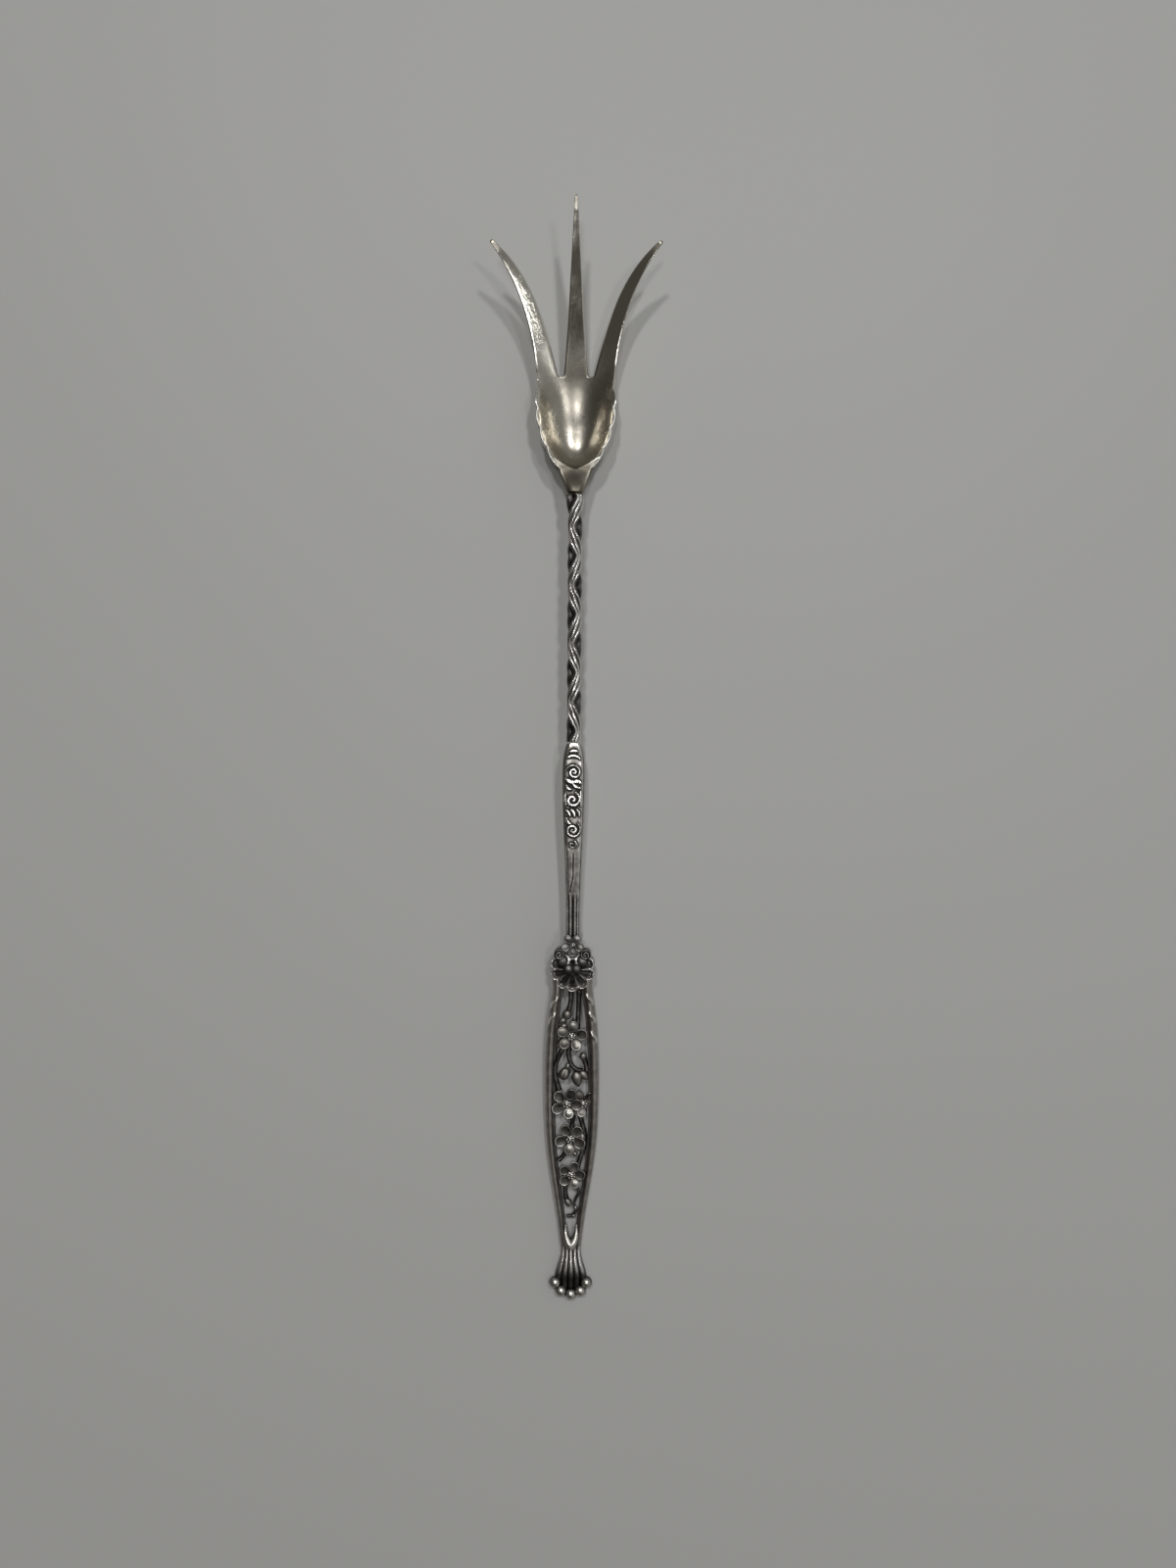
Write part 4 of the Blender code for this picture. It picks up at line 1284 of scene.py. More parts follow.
@dataclass
class ShellBoss:
    """Fluted shell under two volutes. Places of its front are shares of its reach from the middle."""

    centre_below_head: float = 4.3 * MM
    radius: float = 4.9 * MM
    crown_radius: float = 3.4 * MM
    lobes: int = 7
    lobe_angle: float = math.radians(37)
    lobe_round: float = 0.6
    notch: float = 0.62 * MM
    edge_height: float = 1.7 * MM
    crown_height: float = 2.75 * MM
    crown_power: float = 2.4
    trough: float = 0.95 * MM
    inner_trough: float = 0.55
    flute_power: float = 1.3
    flute_start: Place = (0.22, 0.3)
    flute_end: Place = (0.985, 0.16)
    lip: float = 0.46 * MM
    lip_at: float = 0.91
    lip_width: float = 0.08
    lip_power: float = 0.35
    rib: float = 0.20 * MM
    rib_width: float = 0.07
    edge_at: float = 0.96
    edge_power: float = 0.6
    ground_wear: float = 0.14
    ridge_wear: float = 0.62
    ridge_power: float = 1.6
    ridge_start: Place = (0.25, 0.3)
    lip_wear: float = 0.9
    rib_wear: float = 0.2
    knobs: tuple[tuple[float, float, float, float], ...] = (
        (-0.86, 0.2, 1.2, 0.85), (0.86, 0.2, 1.2, 0.85), (-2.1, 1.85, 1.25, 0.55), (2.1, 1.85, 1.25, 0.55),
    )
    knob_sunk: float = 0.45 * MM
    knob_wear: float = 0.55
    hole_above: float = 1.7 * MM
    hole_width: float = 0.42 * MM
    hole_depth: float = 0.8 * MM
    back_from: float = 0.05
    back_rings: int = 6
    rings: int = 110
    ring_crowding: float = 1.25
    innermost: float = 0.02
    around: int = 420

    def from_bottom(self, angle: Array) -> Array:
        """Angle away from the bottom lobe."""
        return (angle + np.pi / 2 + np.pi) % (2 * np.pi) - np.pi

    def lobe(self, angle: Array) -> Array:
        """Wave of the lobes.

        Args:
            angle: Angles round the shell's middle.

        Returns:
            1 in the middle of a lobe, 0 between two and above the last one.
        """
        away = self.from_bottom(angle)
        wave = np.abs(np.sin(np.pi * (away / self.lobe_angle + 0.5)))
        return np.where(np.abs(away) < self.lobes * self.lobe_angle / 2, wave, 0.0)

    def reach(self, angle: Array) -> Array:
        """Outline of the shell.

        Args:
            angle: Angles round its middle.

        Returns:
            Distances from the middle in metres.
        """
        away = np.abs(self.from_bottom(angle))
        last = self.lobes * self.lobe_angle / 2
        crown = ease((away - last) / (np.pi - last))
        shell = self.radius - self.notch * (1 - self.lobe(angle) ** self.lobe_round)
        return np.where(away < last, shell, mix(self.radius - self.notch, self.crown_radius, crown))

    def flat(self, angle: Array, share: Array) -> tuple[Array, Array]:
        """Places across and along from the shell's middle."""
        reach = share * self.reach(angle)
        return reach * np.cos(angle), reach * np.sin(angle)

    def surface(self, angle: Array, share: Array) -> tuple[Array, Array]:
        """Front of the shell.

        Args:
            angle: Angles round the shell's middle.
            share: Shares of the outline's reach.

        Returns:
            Heights over the handle's back in metres, and wear.
        """
        lobe = self.lobe(angle)
        (first, first_run), (last, last_run) = self.flute_start, self.flute_end
        flute = lobe ** self.flute_power * ease((share - first) / first_run)
        flute = flute * ease((last - share) / last_run)
        lip = bell(share - self.lip_at, self.lip_width) * lobe ** self.lip_power
        rib = bell(1 - lobe, self.rib_width) * flute
        height = mix(self.crown_height, self.edge_height, share ** self.crown_power)
        height = height - self.trough * flute * mix(self.inner_trough, 1.0, share)
        height = height + self.lip * lip + self.rib * rib
        ridge, ridge_run = self.ridge_start
        wear = self.ridge_wear * (1 - flute) ** self.ridge_power * ease((share - ridge) / ridge_run)
        wear = self.ground_wear + wear + self.lip_wear * lip + self.rib_wear * rib
        x, y = self.flat(angle, share)
        for knob_x, knob_y, size, rise in self.knobs:
            bulge = dome(np.hypot(x - knob_x * MM, y - knob_y * MM) / (size * MM))
            knob = self.crown_height - self.knob_sunk + rise * MM * bulge
            on_knob = (bulge > 0) & (knob > height)
            height = np.where(on_knob, knob, height)
            wear = np.where(on_knob, self.knob_wear * bulge ** 2, wear)
        hole = bell(np.hypot(x, y - self.hole_above), self.hole_width)
        edge = dome(unit((share - self.edge_at) / (1 - self.edge_at))) ** self.edge_power
        return (height - self.hole_depth * hole) * edge, wear * (1 - hole) * edge

    def build(self) -> None:
        """Makes the shell and its volutes and blackens the flutes."""
        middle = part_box("shell_boss")[1].y - self.centre_below_head
        angle = turn_round(self.around)
        back = column(self.back_from, 1.0, self.back_rings)
        front = 1 - column(0, 1, self.rings) ** self.ring_crowding * (1 - self.innermost)
        rise, wear = self.surface(angle, front)
        flat = np.zeros((self.back_rings, self.around))
        x, y = self.flat(angle, np.concatenate([back, front]))
        y = middle + y
        z = SPINE.height(y) + np.concatenate([flat, rise])
        body = Body()
        body.loft(points_of(x, y, z), np.concatenate([flat, wear]))
        for side in BOTH_SIDES:
            Volute(side).add_to(body, middle)
        body.make("fluted_shell", RELIEF, "shell_boss")


@dataclass
class Rail:
    """Bowed rail: a round reed with a lower ledge on its inner side, and ribbon bands near the boss."""

    side: Side
    head_half_width: float = 4.2 * MM
    widest: float = 5.7 * MM
    foot_half_width: float = 2.2 * MM
    widest_at: float = 0.36
    head_ease: float = 2.5
    waist_ease: float = 2.4
    width: float = 2.25 * MM
    foot_width: float = 1.5 * MM
    taper_from: float = 0.3
    height: float = 2.1 * MM
    reed_share: float = 0.84
    reed_power: float = 0.75
    shelf_height: float = 0.75 * MM
    shelf_from: float = 0.4
    ledge_height: float = 1.15 * MM
    ledge_span: Place = (-0.75, 0.95)
    ledge_power: float = 0.6
    overrun: float = 0.06
    bands: tuple[float, ...] = (1.6 * MM, 5.0 * MM)
    band_slope: float = 1.2
    band_height: float = 0.38 * MM
    band_width: float = 0.48 * MM
    band_share: float = 0.7
    reed_wear: float = 0.46
    crest_wear: float = 0.08
    ledge_wear: float = 0.40
    band_wear: float = 1.5
    rows: int = 420
    columns: int = 40
    back_columns: int = 5

    def outer(self, run: Array) -> Array:
        """Half-width of the frame.

        Args:
            run: Places from the boss (0) to the fan (1).

        Returns:
            Half-widths in metres.
        """
        to_head = unit((self.widest_at - run) / self.widest_at)
        to_foot = unit((run - self.widest_at) / (1 - self.widest_at))
        fall = to_foot ** self.waist_ease
        fall = fall / (fall + 1 - to_foot)
        head = mix(self.widest, self.head_half_width, to_head ** self.head_ease)
        return np.where(run < self.widest_at, head, mix(self.widest, self.foot_half_width, fall))

    def build(self) -> None:
        """Makes the rail and tarnishes its sides."""
        node = f"{self.side.name.lower()}_rail"
        run = column(-self.overrun, 1.0, self.rows)
        y = mix(BOSS_EDGE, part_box("fan_terminal")[1].y, run)
        reach = unit(run)
        width = mix(self.width, self.foot_width, unit((reach - self.taper_from) / (1 - self.taper_from)))
        inward = (1 - np.cos(np.linspace(0, np.pi, self.columns)))[None, :] / 2
        on_reed = inward < self.reed_share
        reed = self.height * dome(inward / self.reed_share * 2 - 1) ** self.reed_power
        on_ledge = mix(*self.ledge_span, (inward - self.reed_share) / (1 - self.reed_share))
        ledge = self.ledge_height * dome(on_ledge) ** self.ledge_power
        rise = np.where(on_reed, np.maximum(reed, self.shelf_height * (inward > self.shelf_from)), ledge)
        across = self.outer(reach) - inward * width
        for band in self.bands:
            off = y - BOSS_EDGE + band - self.band_slope * (self.outer(reach) - width / 2 - across)
            ribbon = bell(off, self.band_width) * on_reed * dome(inward / self.band_share * 2 - 1)
            rise = rise + self.band_height * ribbon
        wear = self.reed_wear + self.crest_wear * (reed / self.height) ** 2
        wear = np.where(on_reed, wear, self.ledge_wear * ledge / self.ledge_height)
        proud = np.clip(rise - np.maximum(reed, ledge), 0.0, None)
        wear = wear + self.band_wear * proud / self.band_height
        flat = np.zeros((self.rows, self.back_columns))
        step = self.columns // self.back_columns
        x = np.concatenate([across, across[:, ::-step]], axis=1) * self.side.value
        z = SPINE.height(y) + np.concatenate([rise, flat], axis=1)
        body = Body()
        body.loft(points_of(x, y, z), np.concatenate([wear, flat], axis=1))
        body.make(f"{node}_reed", OXIDISED, node)


@dataclass
class Blossom:
    """Five cupped petals round a heap of stamens; its place is in millimetres from the boss's lower edge."""

    node: str
    place: Place
    turn: float
    lift: float = 1.75 * MM
    ring: float = 2.12 * MM
    petal: float = 1.26 * MM
    cups: tuple[float, ...] = (0.14, -0.2, 0.12, -0.2, 0.12)
    petals: tuple[int, ...] = (0, 1, 2, 3, 4)
    petal_step: float = 72.0
    thickness: float = 0.62 * MM
    rim: float = 0.12 * MM
    rim_at: float = 0.88
    rim_width: float = 0.10
    stretch: float = 1.06
    hub_narrowing: float = 0.10
    tilt: float = 5.0
    tilt_swing: float = 6.0
    tilt_step: float = 2.4
    polish: float = 0.86
    cup_polish: float = 0.30
    hub_shade: float = 0.55
    crescent_highlight: Place = (0.35, 1.1)
    crescent_highlight_width: float = 0.08
    stamen: float = 0.33 * MM
    stamens: int = 7
    stamen_size: float = 0.85
    stamen_swing: float = 0.2
    stamen_step: float = 5.0
    stamen_ring: float = 2.1
    stamen_lift: float = 0.1 * MM
    heart: float = 2.3
    heart_sunk: float = 1.3
    crown_lift: float = 0.45 * MM
    grain_span: Place = (-1.35, 1.45)
    grain_height: float = 0.9
    grain_wear_power: float = 0.8
    finish: SilverFinish = BRIGHT
    top_inner: float = 0.04
    under_span: Place = (0.1, 0.92)
    top_rows: int = 14
    under_rows: int = 4
    around: int = 36
    grain_rows: int = 8
    grain_around: int = 12

    def __post_init__(self) -> None:
        """Finds the middle of the blossom in the frame."""
        self.x = self.place[0] * MM
        self.y = BOSS_EDGE + self.place[1] * MM

    def add_petal(self, body: Body, angle: float, cup: float, tilt: float) -> None:
        """Adds one petal.

        Args:
            body: Mesh to add to.
            angle: Direction it points in, in radians.
            cup: Depth of its hollow as a share of its radius; a negative one makes it a dome.
            tilt: How far its outer end is raised, in radians.
        """
        around = turn_round(self.around)
        top = column(1, self.top_inner, self.top_rows)
        under = column(*self.under_span, self.under_rows)
        share = np.concatenate([under, top])
        hollow = -cup * self.petal * (1 - top ** 2) + self.rim * bell(top - self.rim_at, self.rim_width)
        low = -self.thickness - max(cup, 0.0) * self.petal * (1 - under ** 2)
        level = np.concatenate([low, hollow])
        to_tip = (1 + np.cos(around)) / 2
        outwards = share * self.petal * np.cos(around) * self.stretch
        across = share * self.petal * np.sin(around) * (1 - self.hub_narrowing * (1 - to_tip))
        to_hub = unit(-np.cos(around)) * top
        face = self.cup_polish if cup > 0 else 1.0
        # Painted shade on the side towards the hub; painted highlight as a crescent on the rim of cupped
        # petals, brightest towards the tip.
        polish_and_hub_shade = self.polish * face * ease((1.0 - top) / self.rim_width) * (1 - self.hub_shade * to_hub)
        crescent_highlight = (1.0 - face) * bell(top - self.rim_at, self.crescent_highlight_width) * mix(*self.crescent_highlight, to_tip)
        wear = np.concatenate([np.zeros((self.under_rows, self.around)), polish_and_hub_shade + crescent_highlight])
        raised = level * math.cos(tilt) + outwards * math.sin(tilt)
        away = self.ring + outwards * math.cos(tilt) - level * math.sin(tilt)
        x = self.x + away * math.cos(angle) - across * math.sin(angle)
        y = self.y + away * math.sin(angle) + across * math.cos(angle)
        body.loft(points_of(x, y, SPINE.height(y) + self.lift + raised), wear)

    def add_grain(self, body: Body, off: float, angle: float, size: float, level: float) -> None:
        """Adds one stamen as a slightly flattened grain.

        Args:
            body: Mesh to add to.
            off: Distance from the blossom's middle.
            angle: Direction from there in radians.
            size: Radius.
            level: Height over the handle's back.
        """
        upright = column(*self.grain_span, self.grain_rows)
        x, y, z = ball(size, upright, self.grain_around)
        x = self.x + off * math.cos(angle) + x
        y = self.y + off * math.sin(angle) + y
        z = SPINE.height(y) + level + self.grain_height * z
        body.loft(points_of(x, y, z), unit(np.sin(upright)) ** self.grain_wear_power)

    def build(self) -> None:
        """Makes the petals and stamens and tarnishes the hollows between them, with painted shade towards
        the hub and painted crescent highlights on the cupped petals.
        """
        body = Body()
        for index in self.petals:
            tilt = math.radians(self.tilt + self.tilt_swing * math.sin(self.tilt_step * index + self.turn))
            self.add_petal(body, math.radians(self.turn + self.petal_step * index), self.cups[index], tilt)
        self.add_grain(body, 0.0, 0.0, self.heart * self.stamen, self.lift - self.heart_sunk * self.stamen)
        for index in range(self.stamens):
            angle = 2 * math.pi * index / self.stamens + self.turn
            size = self.stamen * (self.stamen_size + self.stamen_swing * math.sin(self.stamen_step * index))
            self.add_grain(body, self.stamen_ring * self.stamen, angle, size, self.lift + self.stamen_lift)
        self.add_grain(body, 0.0, 0.0, self.stamen, self.lift + self.crown_lift)
        body.make(f"{self.node}_petals", self.finish, self.node)


@dataclass(frozen=True)
class Ornament:
    """Bud or leaf on a vine, placed from the boss's lower edge, with its lengths in millimetres."""

    form: Form
    place: Place
    heading: float
    half_length: float
    half_width: float
    lift: float = 1.25
    ends: Place = (-0.995, 0.995)
    leaf_lean: float = 0.8
    leaf_power: float = 0.75
    bell_flare: Place = (0.75, 1.1)
    fullness: float = 0.7
    cleft_width: float = 0.22
    wear: float = 0.56
    wear_power: float = 1.2
    wear_rate: float = 1.5
    cleft_dulling: float = 0.6
    dulling_width: float = 0.14
    rows: int = 30
    around: int = 32

    def outline(self, along: Array) -> Array:
        """Width along the ornament.

        Args:
            along: Places from its foot (-1) to its tip (1).

        Returns:
            Shares of the half-width.
        """
        share = (along + 1) / 2
        if self.form is Form.LEAF:
            return np.sin(np.pi * share ** self.leaf_lean) ** self.leaf_power
        if self.form is Form.BELL:
            return dome(along) * mix(*self.bell_flare, share)
        return dome(along)

    def add_to(self, body: Body) -> None:
        """Adds the ornament to a mesh.

        Args:
            body: Mesh to add to.
        """
        tall, cleft = self.form.value
        along = column(*self.ends, self.rows)
        around = turn_round(self.around)
        wide = self.outline(along)
        ahead = along * self.half_length
        across = wide * np.cos(around) * self.half_width
        dip = cleft * bell(np.cos(around), self.cleft_width) * wide * (np.sin(around) > 0)
        up = (wide ** self.fullness * np.sin(around) * tall - dip) * self.half_width
        turn = math.radians(self.heading)
        x = (self.place[0] + ahead * math.cos(turn) - across * math.sin(turn)) * MM
        y = BOSS_EDGE + (self.place[1] + ahead * math.sin(turn) + across * math.cos(turn)) * MM
        wear = self.wear * unit(np.sin(around)) ** self.wear_power * ease(wide * self.wear_rate)
        if cleft:
            wear = wear * (1 - self.cleft_dulling * bell(np.cos(around), self.dulling_width))
        body.loft(points_of(x, y, SPINE.height(y) + (self.lift + up) * MM), wear)


@dataclass(frozen=True)
class Vine:
    """Wire with its buds and leaves; its route is in millimetres from the boss's lower edge."""

    node: str
    route: tuple[Place, ...]
    ornaments: tuple[Ornament, ...] = ()
    thick: float = 0.60 * MM
    waist: float = 0.18
    lift: float = 0.95 * MM
    polish: float = 0.24
    steps: int = 14

    def build(self) -> None:
        """Makes the wire and what grows on it."""
        flat = curve_through(np.array(self.route), self.steps) * MM + np.array([0.0, BOSS_EDGE])
        path = np.column_stack([flat, SPINE.height(flat[:, 1]) + self.lift])
        share = np.linspace(0, 1, len(path))
        body = Body()
        body.tube(path, self.thick * (1.0 - self.waist * np.sin(np.pi * share)), self.polish)
        for ornament in self.ornaments:
            ornament.add_to(body)
        body.make(f"{self.node}_wire", OXIDISED, self.node)


@dataclass
class Openwork:
    """Spray of blossoms and vines between the rails."""

    def blossoms(self) -> list[Blossom]:
        """Lists the blossoms.

        Returns:
            Blossoms from the boss to the fan, the one on the boss first.
        """
        low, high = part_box("boss_blossom")
        on_boss = (low + high) / 2
        small_ring = 1.85 * MM
        open_cups = (0.12, 0.14, 0.12, -0.30, 0.12)
        return [
            Blossom(
                "boss_blossom", (on_boss.x / MM, (on_boss.y - BOSS_EDGE) / MM), 54.0, lift=3.35 * MM,
                ring=1.5 * MM, petal=0.95 * MM, cups=(-0.27, -0.27, -0.2, -0.27, -0.2), thickness=0.7 * MM,
                stamen=0.2 * MM, polish=0.58, finish=RELIEF,
            ),
            Blossom("blossom_1", (-0.1, -9.4), 82.0, cups=(-0.24, -0.22, -0.24, -0.26, 0.12), polish=0.62),
            Blossom("blossom_2", (-1.1, -23.9), 65.0, cups=(0.12, 0.14, 0.12, -0.30, 0.14)),
            Blossom("blossom_3", (-0.25, -31.6), 48.0, cups=open_cups),
            Blossom("blossom_4", (0.05, -39.4), 74.0, cups=open_cups, ring=small_ring, petal=1.12 * MM),
            Blossom(
                "half_blossom", (2.45, -24.0), 44.0, lift=1.25 * MM, ring=small_ring, petal=1.1 * MM,
                petals=(0, 1, 2, 3), polish=0.55, finish=OXIDISED,
            ),
        ]

    def vines(self) -> list[Vine]:
        """Lists the wires with their buds and leaves.

        Returns:
            Vines from the boss to the fan.
        """
        return [
            Vine("crown_stem", ((1.45, 0.4), (1.32, -2.9), (1.2, -7.8))),
            Vine(
                "upper_bud", ((-0.25, 0.4), (-0.35, -1.9), (-0.75, -3.9)),
                (
                    Ornament(Form.BUD, (-1.1, -4.7), 250, 1.1, 1.05, 1.6),
                    Ornament(Form.LEAF, (-2.1, -6.1), 215, 0.95, 0.6, 1.3),
                    Ornament(Form.LEAF, (-1.95, -7.3), 200, 0.9, 0.55, 1.2),
                ),
            ),
            Vine(
                "left_stem", ((-1.7, -11.5), (-2.5, -13.2), (-3.45, -15.7), (-3.5, -18.3), (-2.7, -21.1)),
                (Ornament(Form.LEAF, (-2.75, -11.2), 240, 1.15, 0.55, 1.3),),
            ),
            Vine(
                "bud_branch", ((-0.5, -11.5), (-0.75, -13.3), (-0.25, -15.3), (0.8, -16.5), (2.3, -17.0)),
                (
                    Ornament(Form.BELL, (-1.6, -17.4), 248, 1.4, 1.25, 1.5),
                    Ornament(Form.BUD, (-0.95, -15.9), 245, 0.75, 0.55, 1.35),
                    Ornament(Form.LEAF, (1.15, -18.6), 282, 1.75, 1.2, 1.45),
                    Ornament(Form.LEAF, (2.6, -17.8), 315, 1.25, 0.95, 1.4),
                ),
            ),
            Vine(
                "side_bud", ((2.4, -13.9), (2.95, -15.5), (3.2, -16.9)),
                (Ornament(Form.BUD, (2.35, -13.7), 60, 0.85, 0.78, 1.3),),
            ),
            Vine("middle_stem", ((0.35, -26.7), (0.2, -27.9), (0.0, -29.7))),
            Vine(
                "right_stem",
                ((1.8, -26.7), (2.3, -28.5), (2.75, -30.9), (2.6, -33.9), (1.9, -35.9), (1.3, -37.9)),
                (
                    Ornament(Form.LEAF, (2.35, -31.4), 280, 1.1, 0.75, 1.2),
                    Ornament(Form.LEAF, (2.3, -33.7), 255, 1.1, 0.7, 1.2),
                    Ornament(Form.BUD, (0.8, -34.9), 300, 0.6, 0.5, 1.2),
                ),
            ),
            Vine("left_tie", ((-1.3, -34.6), (-1.9, -35.6), (-2.75, -36.3))),
            Vine(
                "tail_bud", ((-1.15, -41.3), (-1.3, -43.1), (-1.05, -44.7)),
                (Ornament(Form.BUD, (-0.65, -45.3), 300, 1.0, 0.8, 1.35),),
            ),
            Vine(
                "tail_stem",
                (
                    (1.0, -41.9), (1.6, -43.3), (1.0, -44.6), (0.65, -45.9),
                    (1.1, -47.1), (0.3, -48.2), (-1.0, -48.5),
                ),
                (
                    Ornament(Form.BUD, (0.95, -46.6), 270, 0.55, 0.45, 1.2),
                    Ornament(Form.BUD, (0.5, -48.3), 200, 0.5, 0.45, 1.2),
                ),
                thick=0.38 * MM,
            ),
        ]

    def build(self) -> None:
        """Makes the whole spray."""
        for piece in [*self.blossoms(), *self.vines()]:
            piece.build()


@dataclass
class Strap:
    """V-shaped strap over the lower ends of the rails; its knots are in millimetres from its ends."""

    thick: float = 0.60 * MM
    swell: Place = (0.5, 1.7)
    swell_run: float = 1.2
    lift: float = 2.1 * MM
    climb: float = 0.15 * MM
    upper_knots: tuple[Place, ...] = ((1.15, 0.2), (1.12, -1.9))
    lower_knots: tuple[Place, ...] = ((0.62, 1.3), (-0.1, 0.1))
    steps: int = 14
    sides: int = 18

    def build(self) -> None:
        """Makes the two arms of the V, which meet at its lower end."""
        low, high = (corner.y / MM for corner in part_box("v_collar"))
        knots = [(x, high + y) for x, y in self.upper_knots] + [(x, low + y) for x, y in self.lower_knots]
        body = Body()
        for side in BOTH_SIDES:
            flat = curve_through(np.array(knots) * np.array([side.value, 1.0]), self.steps) * MM
            share = np.linspace(0, 1, len(flat))
            path = np.column_stack([flat, SPINE.height(flat[:, 1]) + self.lift + self.climb * share])
            body.tube(path, self.thick * mix(*self.swell, ease(self.swell_run * share)), 1.0, self.sides)
        body.make("v_strap", BRIGHT, "v_collar")


@dataclass
class Fan:
    """Ribbed fan at the end of the handle. Places along it are shares of its length from the strap."""

    ribs: int = 5
    rib_power: float = 0.42
    height: float = 1.9 * MM
    highest_at: float = 0.62
    start_height: float = 0.66
    top_height: float = 1.06
    end_height: float = 0.66
    side_fall: float = 0.22
    groove: float = 0.62 * MM
    groove_rate: float = 7.0
    waist: float = 2.1 * MM
    flare: float = 3.4 * MM
    flare_from: float = 0.1
    flare_run: float = 0.7
    flare_power: float = 1.4
    overlap: float = 0.25 * MM
    wear_power: float = 1.2
    end_shade_factor: float = 0.3
    shade_from: float = 0.5
    shade_run: float = 0.3
    rows: int = 110
    columns: int = 101
    back_columns: int = 6

    def build(self) -> None:
        """Makes the fan, with rounded ribs, blackened grooves between them and painted shade towards the
        beads.
        """
        low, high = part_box("fan_terminal")
        run = column(0, 1, self.rows)
        y = mix(high.y + self.overlap, low.y, run)
        opening = ease((run - self.flare_from) / self.flare_run) ** self.flare_power
        side = np.linspace(-1, 1, self.columns)[None, :]
        rib = np.abs(np.sin(np.pi * self.ribs * (side + 1) / 2)) ** self.rib_power
        crown = self.height * mix(self.start_height, self.top_height, ease(run / self.highest_at))
        crown = crown * mix(1.0, self.end_height, ease((run - self.highest_at) / (1 - self.highest_at)))
        rise = crown * (1 - self.side_fall * side ** 2)
        rise = rise - self.groove * (1 - rib) * ease(run * self.groove_rate)
        # Painted shade: the ribs turn darker towards the beads.
        wear = rib ** self.wear_power * mix(1.0, self.end_shade_factor, ease((run - self.shade_from) / self.shade_run))
        flat = np.zeros((self.rows, self.back_columns))
        back = np.linspace(1, -1, self.back_columns)[None, :]
        x = mix(self.waist, self.flare, opening) * np.concatenate([side, back], axis=1)
        z = np.concatenate([rise, flat], axis=1)
        body = Body()
        body.loft(points_of(x, y, z), np.concatenate([wear, flat], axis=1))
        body.make("ribbed_fan", RELIEF, "fan_terminal")


@dataclass
class BeadRow:
    """Five touching beads on a dark web of metal, in an arc round the end of the fan."""

    beads: int = 5
    radius: float = 1.2 * MM
    arc: float = 3.55 * MM
    step: float = math.radians(36)
    span: Place = (-1.5, 1.52)
    rows: int = 26
    around: int = 40
    web_steps: float = 2.2
    web_inside: float = 0.1 * MM
    web_half_width: float = 0.85 * MM
    web_half_height: float = 0.6 * MM
    web_level: float = 0.62 * MM
    web_rows: int = 60
    web_around: int = 16
    wear: float = 0.9
    wear_from: float = 1.0 * MM
    wear_run: float = 1.4 * MM
    wear_power: float = 1.2

    def build(self) -> None:
        """Makes the beads and their web, and brightens what stands high."""
        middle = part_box("bead_cluster")[0].y + self.radius + self.arc
        x, y, z = ball(self.radius, column(*self.span, self.rows), self.around)
        body = Body()
        for index in range(self.beads):
            angle = (index - self.beads // 2) * self.step
            bead_y = middle - self.arc * math.cos(angle) + y
            body.loft(points_of(self.arc * math.sin(angle) + x, bead_y, self.radius + z))
        turn = column(-self.web_steps, self.web_steps, self.web_rows) * self.step
        ring = turn_round(self.web_around)
        reach = self.arc - self.web_inside + self.web_half_width * np.cos(ring)
        z = self.web_level + self.web_half_height * np.sin(ring)
        body.loft(points_of(reach * np.sin(turn), middle - reach * np.cos(turn), z))
        height = np.concatenate(body.points)[:, 2]
        wear = self.wear * unit((height - self.wear_from) / self.wear_run) ** self.wear_power
        dress(body.to_object("bead_row"), BRIGHT, wear, "bead_cluster")


@dataclass(frozen=True)
class Lamp:
    """Soft lamp: its place in metres, size and power."""

    name: str
    place: tuple[float, float, float]
    size: float
    power: float

    def build(self) -> None:
        """Hangs the lamp, facing the middle of the fork."""
        light = bpy.data.lights.new(self.name, "AREA")
        light.shape = "DISK"
        light.size = self.size
        light.energy = self.power
        lamp = add_object(self.name, light)
        lamp.location = self.place
        lamp.rotation_mode = "QUATERNION"
        lamp.rotation_quaternion = lamp.location.to_track_quat("Z", "Y")


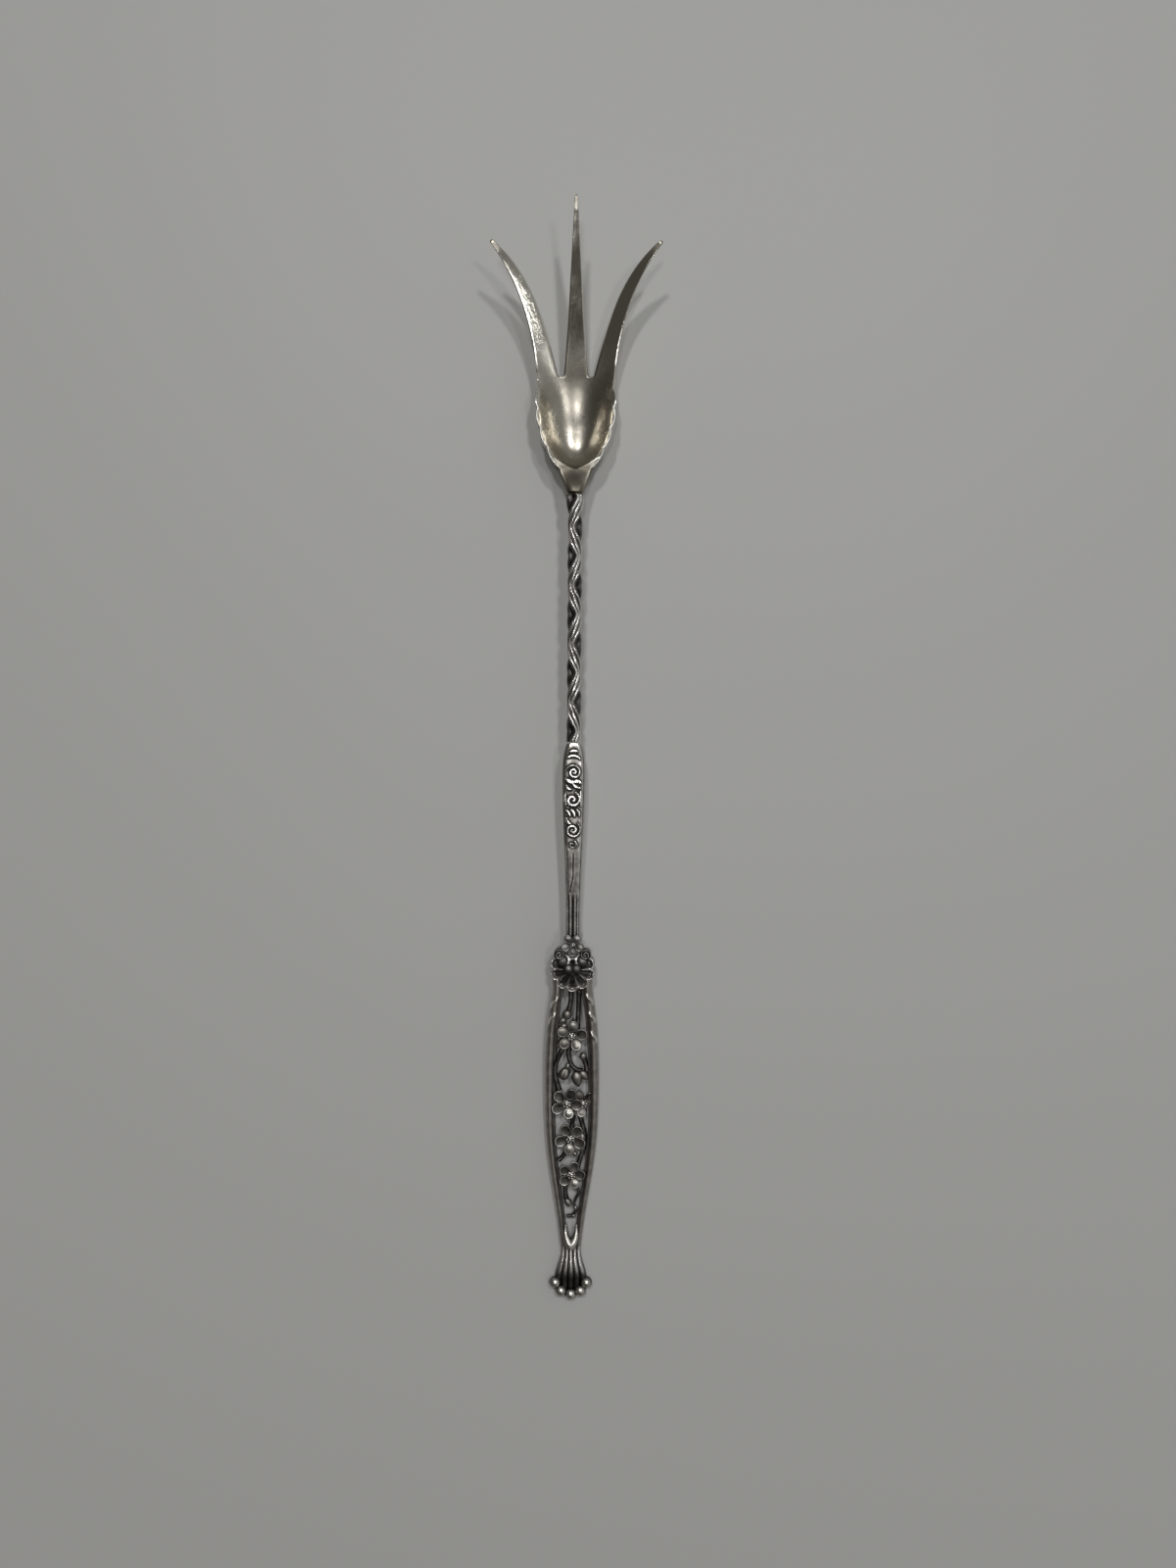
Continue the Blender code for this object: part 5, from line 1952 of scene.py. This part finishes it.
@dataclass
class Studio:
    """Pale floor, four soft lamps and the camera of the photograph."""

    camera_place: tuple[float, float, float] = (3.08 * MM, -4.70 * MM, 254.0 * MM)
    camera_roll: float = math.radians(0.35)
    lens: float = 27.0
    sensor: float = 36.0
    nearest: float = 10.0 * MM
    floor_size: float = 6.0
    floor_colour: Colour = (0.60, 0.597, 0.58)
    floor_roughness: float = 0.5
    dark_side: Colour = (0.055, 0.052, 0.045)
    bright_side: Colour = (0.31, 0.315, 0.31)
    bright_between: Place = (0.0, 1.0)
    ahead_between: Place = (0.45, 0.95)
    ahead_share: float = 0.5
    lamps: tuple[Lamp, ...] = (
        Lamp("lamp_near_left", (-0.10, -0.03, 1.5), 0.12, 1.8),
        Lamp("lamp_far_left", (-0.246, 0.85, 1.5), 0.14, 4.5),
        Lamp("lamp_far_right", (0.449, 0.777, 1.5), 0.14, 4.0),
        Lamp("lamp_near_right", (0.559, -0.02, 1.5), 0.14, 1.6),
    )

    def build_floor(self) -> None:
        """Lays the floor."""
        half = self.floor_size / 2
        corners = [(-half, -half, 0), (half, -half, 0), (half, half, 0), (-half, half, 0)]
        mesh = bpy.data.meshes.new("floor")
        mesh.from_pydata(corners, [], [(0, 1, 2, 3)])
        material = bpy.data.materials.new("floor_pale")
        material.use_nodes = True
        shader = material.node_tree.nodes["Principled BSDF"]
        shader.inputs["Base Color"].default_value = (*self.floor_colour, 1.0)
        shader.inputs["Roughness"].default_value = self.floor_roughness
        mesh.materials.append(material)
        add_object("floor", mesh)

    def build_world(self) -> None:
        """Surrounds the fork with a plain dim room, brighter to the right and beyond the tines."""
        world = bpy.data.worlds.new("room")
        bpy.context.scene.world = world
        room = Shaders(world)
        split = room.add("SeparateXYZ", {"Vector": room.place["Generated"]})
        right = room.span(split.outputs["X"], self.bright_between, (0.0, 1.0), "SMOOTHSTEP")
        ahead = room.span(split.outputs["Y"], self.ahead_between, (0.0, self.ahead_share), "SMOOTHSTEP")
        stops = [(0.0, self.dark_side), (1.0, self.bright_side)]
        colour = room.ramp(room.math("ADD", right, ahead), stops)
        room.feed(room.tree.nodes["Background"], {"Color": colour})

    def build_camera(self) -> None:
        """Sets the camera straight above the fork, as in the photograph."""
        lens = bpy.data.cameras.new("camera")
        lens.lens = self.lens
        lens.sensor_width = self.sensor
        lens.clip_start = self.nearest
        camera = add_object("camera", lens)
        camera.location = self.camera_place
        camera.rotation_euler = (0.0, 0.0, self.camera_roll)
        bpy.context.scene.camera = camera

    def build(self) -> None:
        """Sets up floor, room, lamps and camera."""
        bpy.context.scene.view_settings.view_transform = "Standard"
        self.build_floor()
        self.build_world()
        for lamp in self.lamps:
            lamp.build()
        self.build_camera()


def main() -> None:
    """Builds the studio and every sub-assembly in order."""
    logging.basicConfig(level=logging.INFO, format="%(message)s")
    head = ForkHead()
    assemblies = [
        Studio(),
        head,
        RimBead(head),
        Keel(head),
        TwistedShank(),
        ScrollPanel(),
        ShellBoss(),
        Rail(Side.LEFT),
        Rail(Side.RIGHT, bands=(0.9 * MM, 4.7 * MM, 8.9 * MM)),
        Openwork(),
        Strap(),
        Fan(),
        BeadRow(),
    ]
    for assembly in assemblies:
        assembly.build()
        LOG.info("%s finished", type(assembly).__name__)


if __name__ == "__main__":
    main()
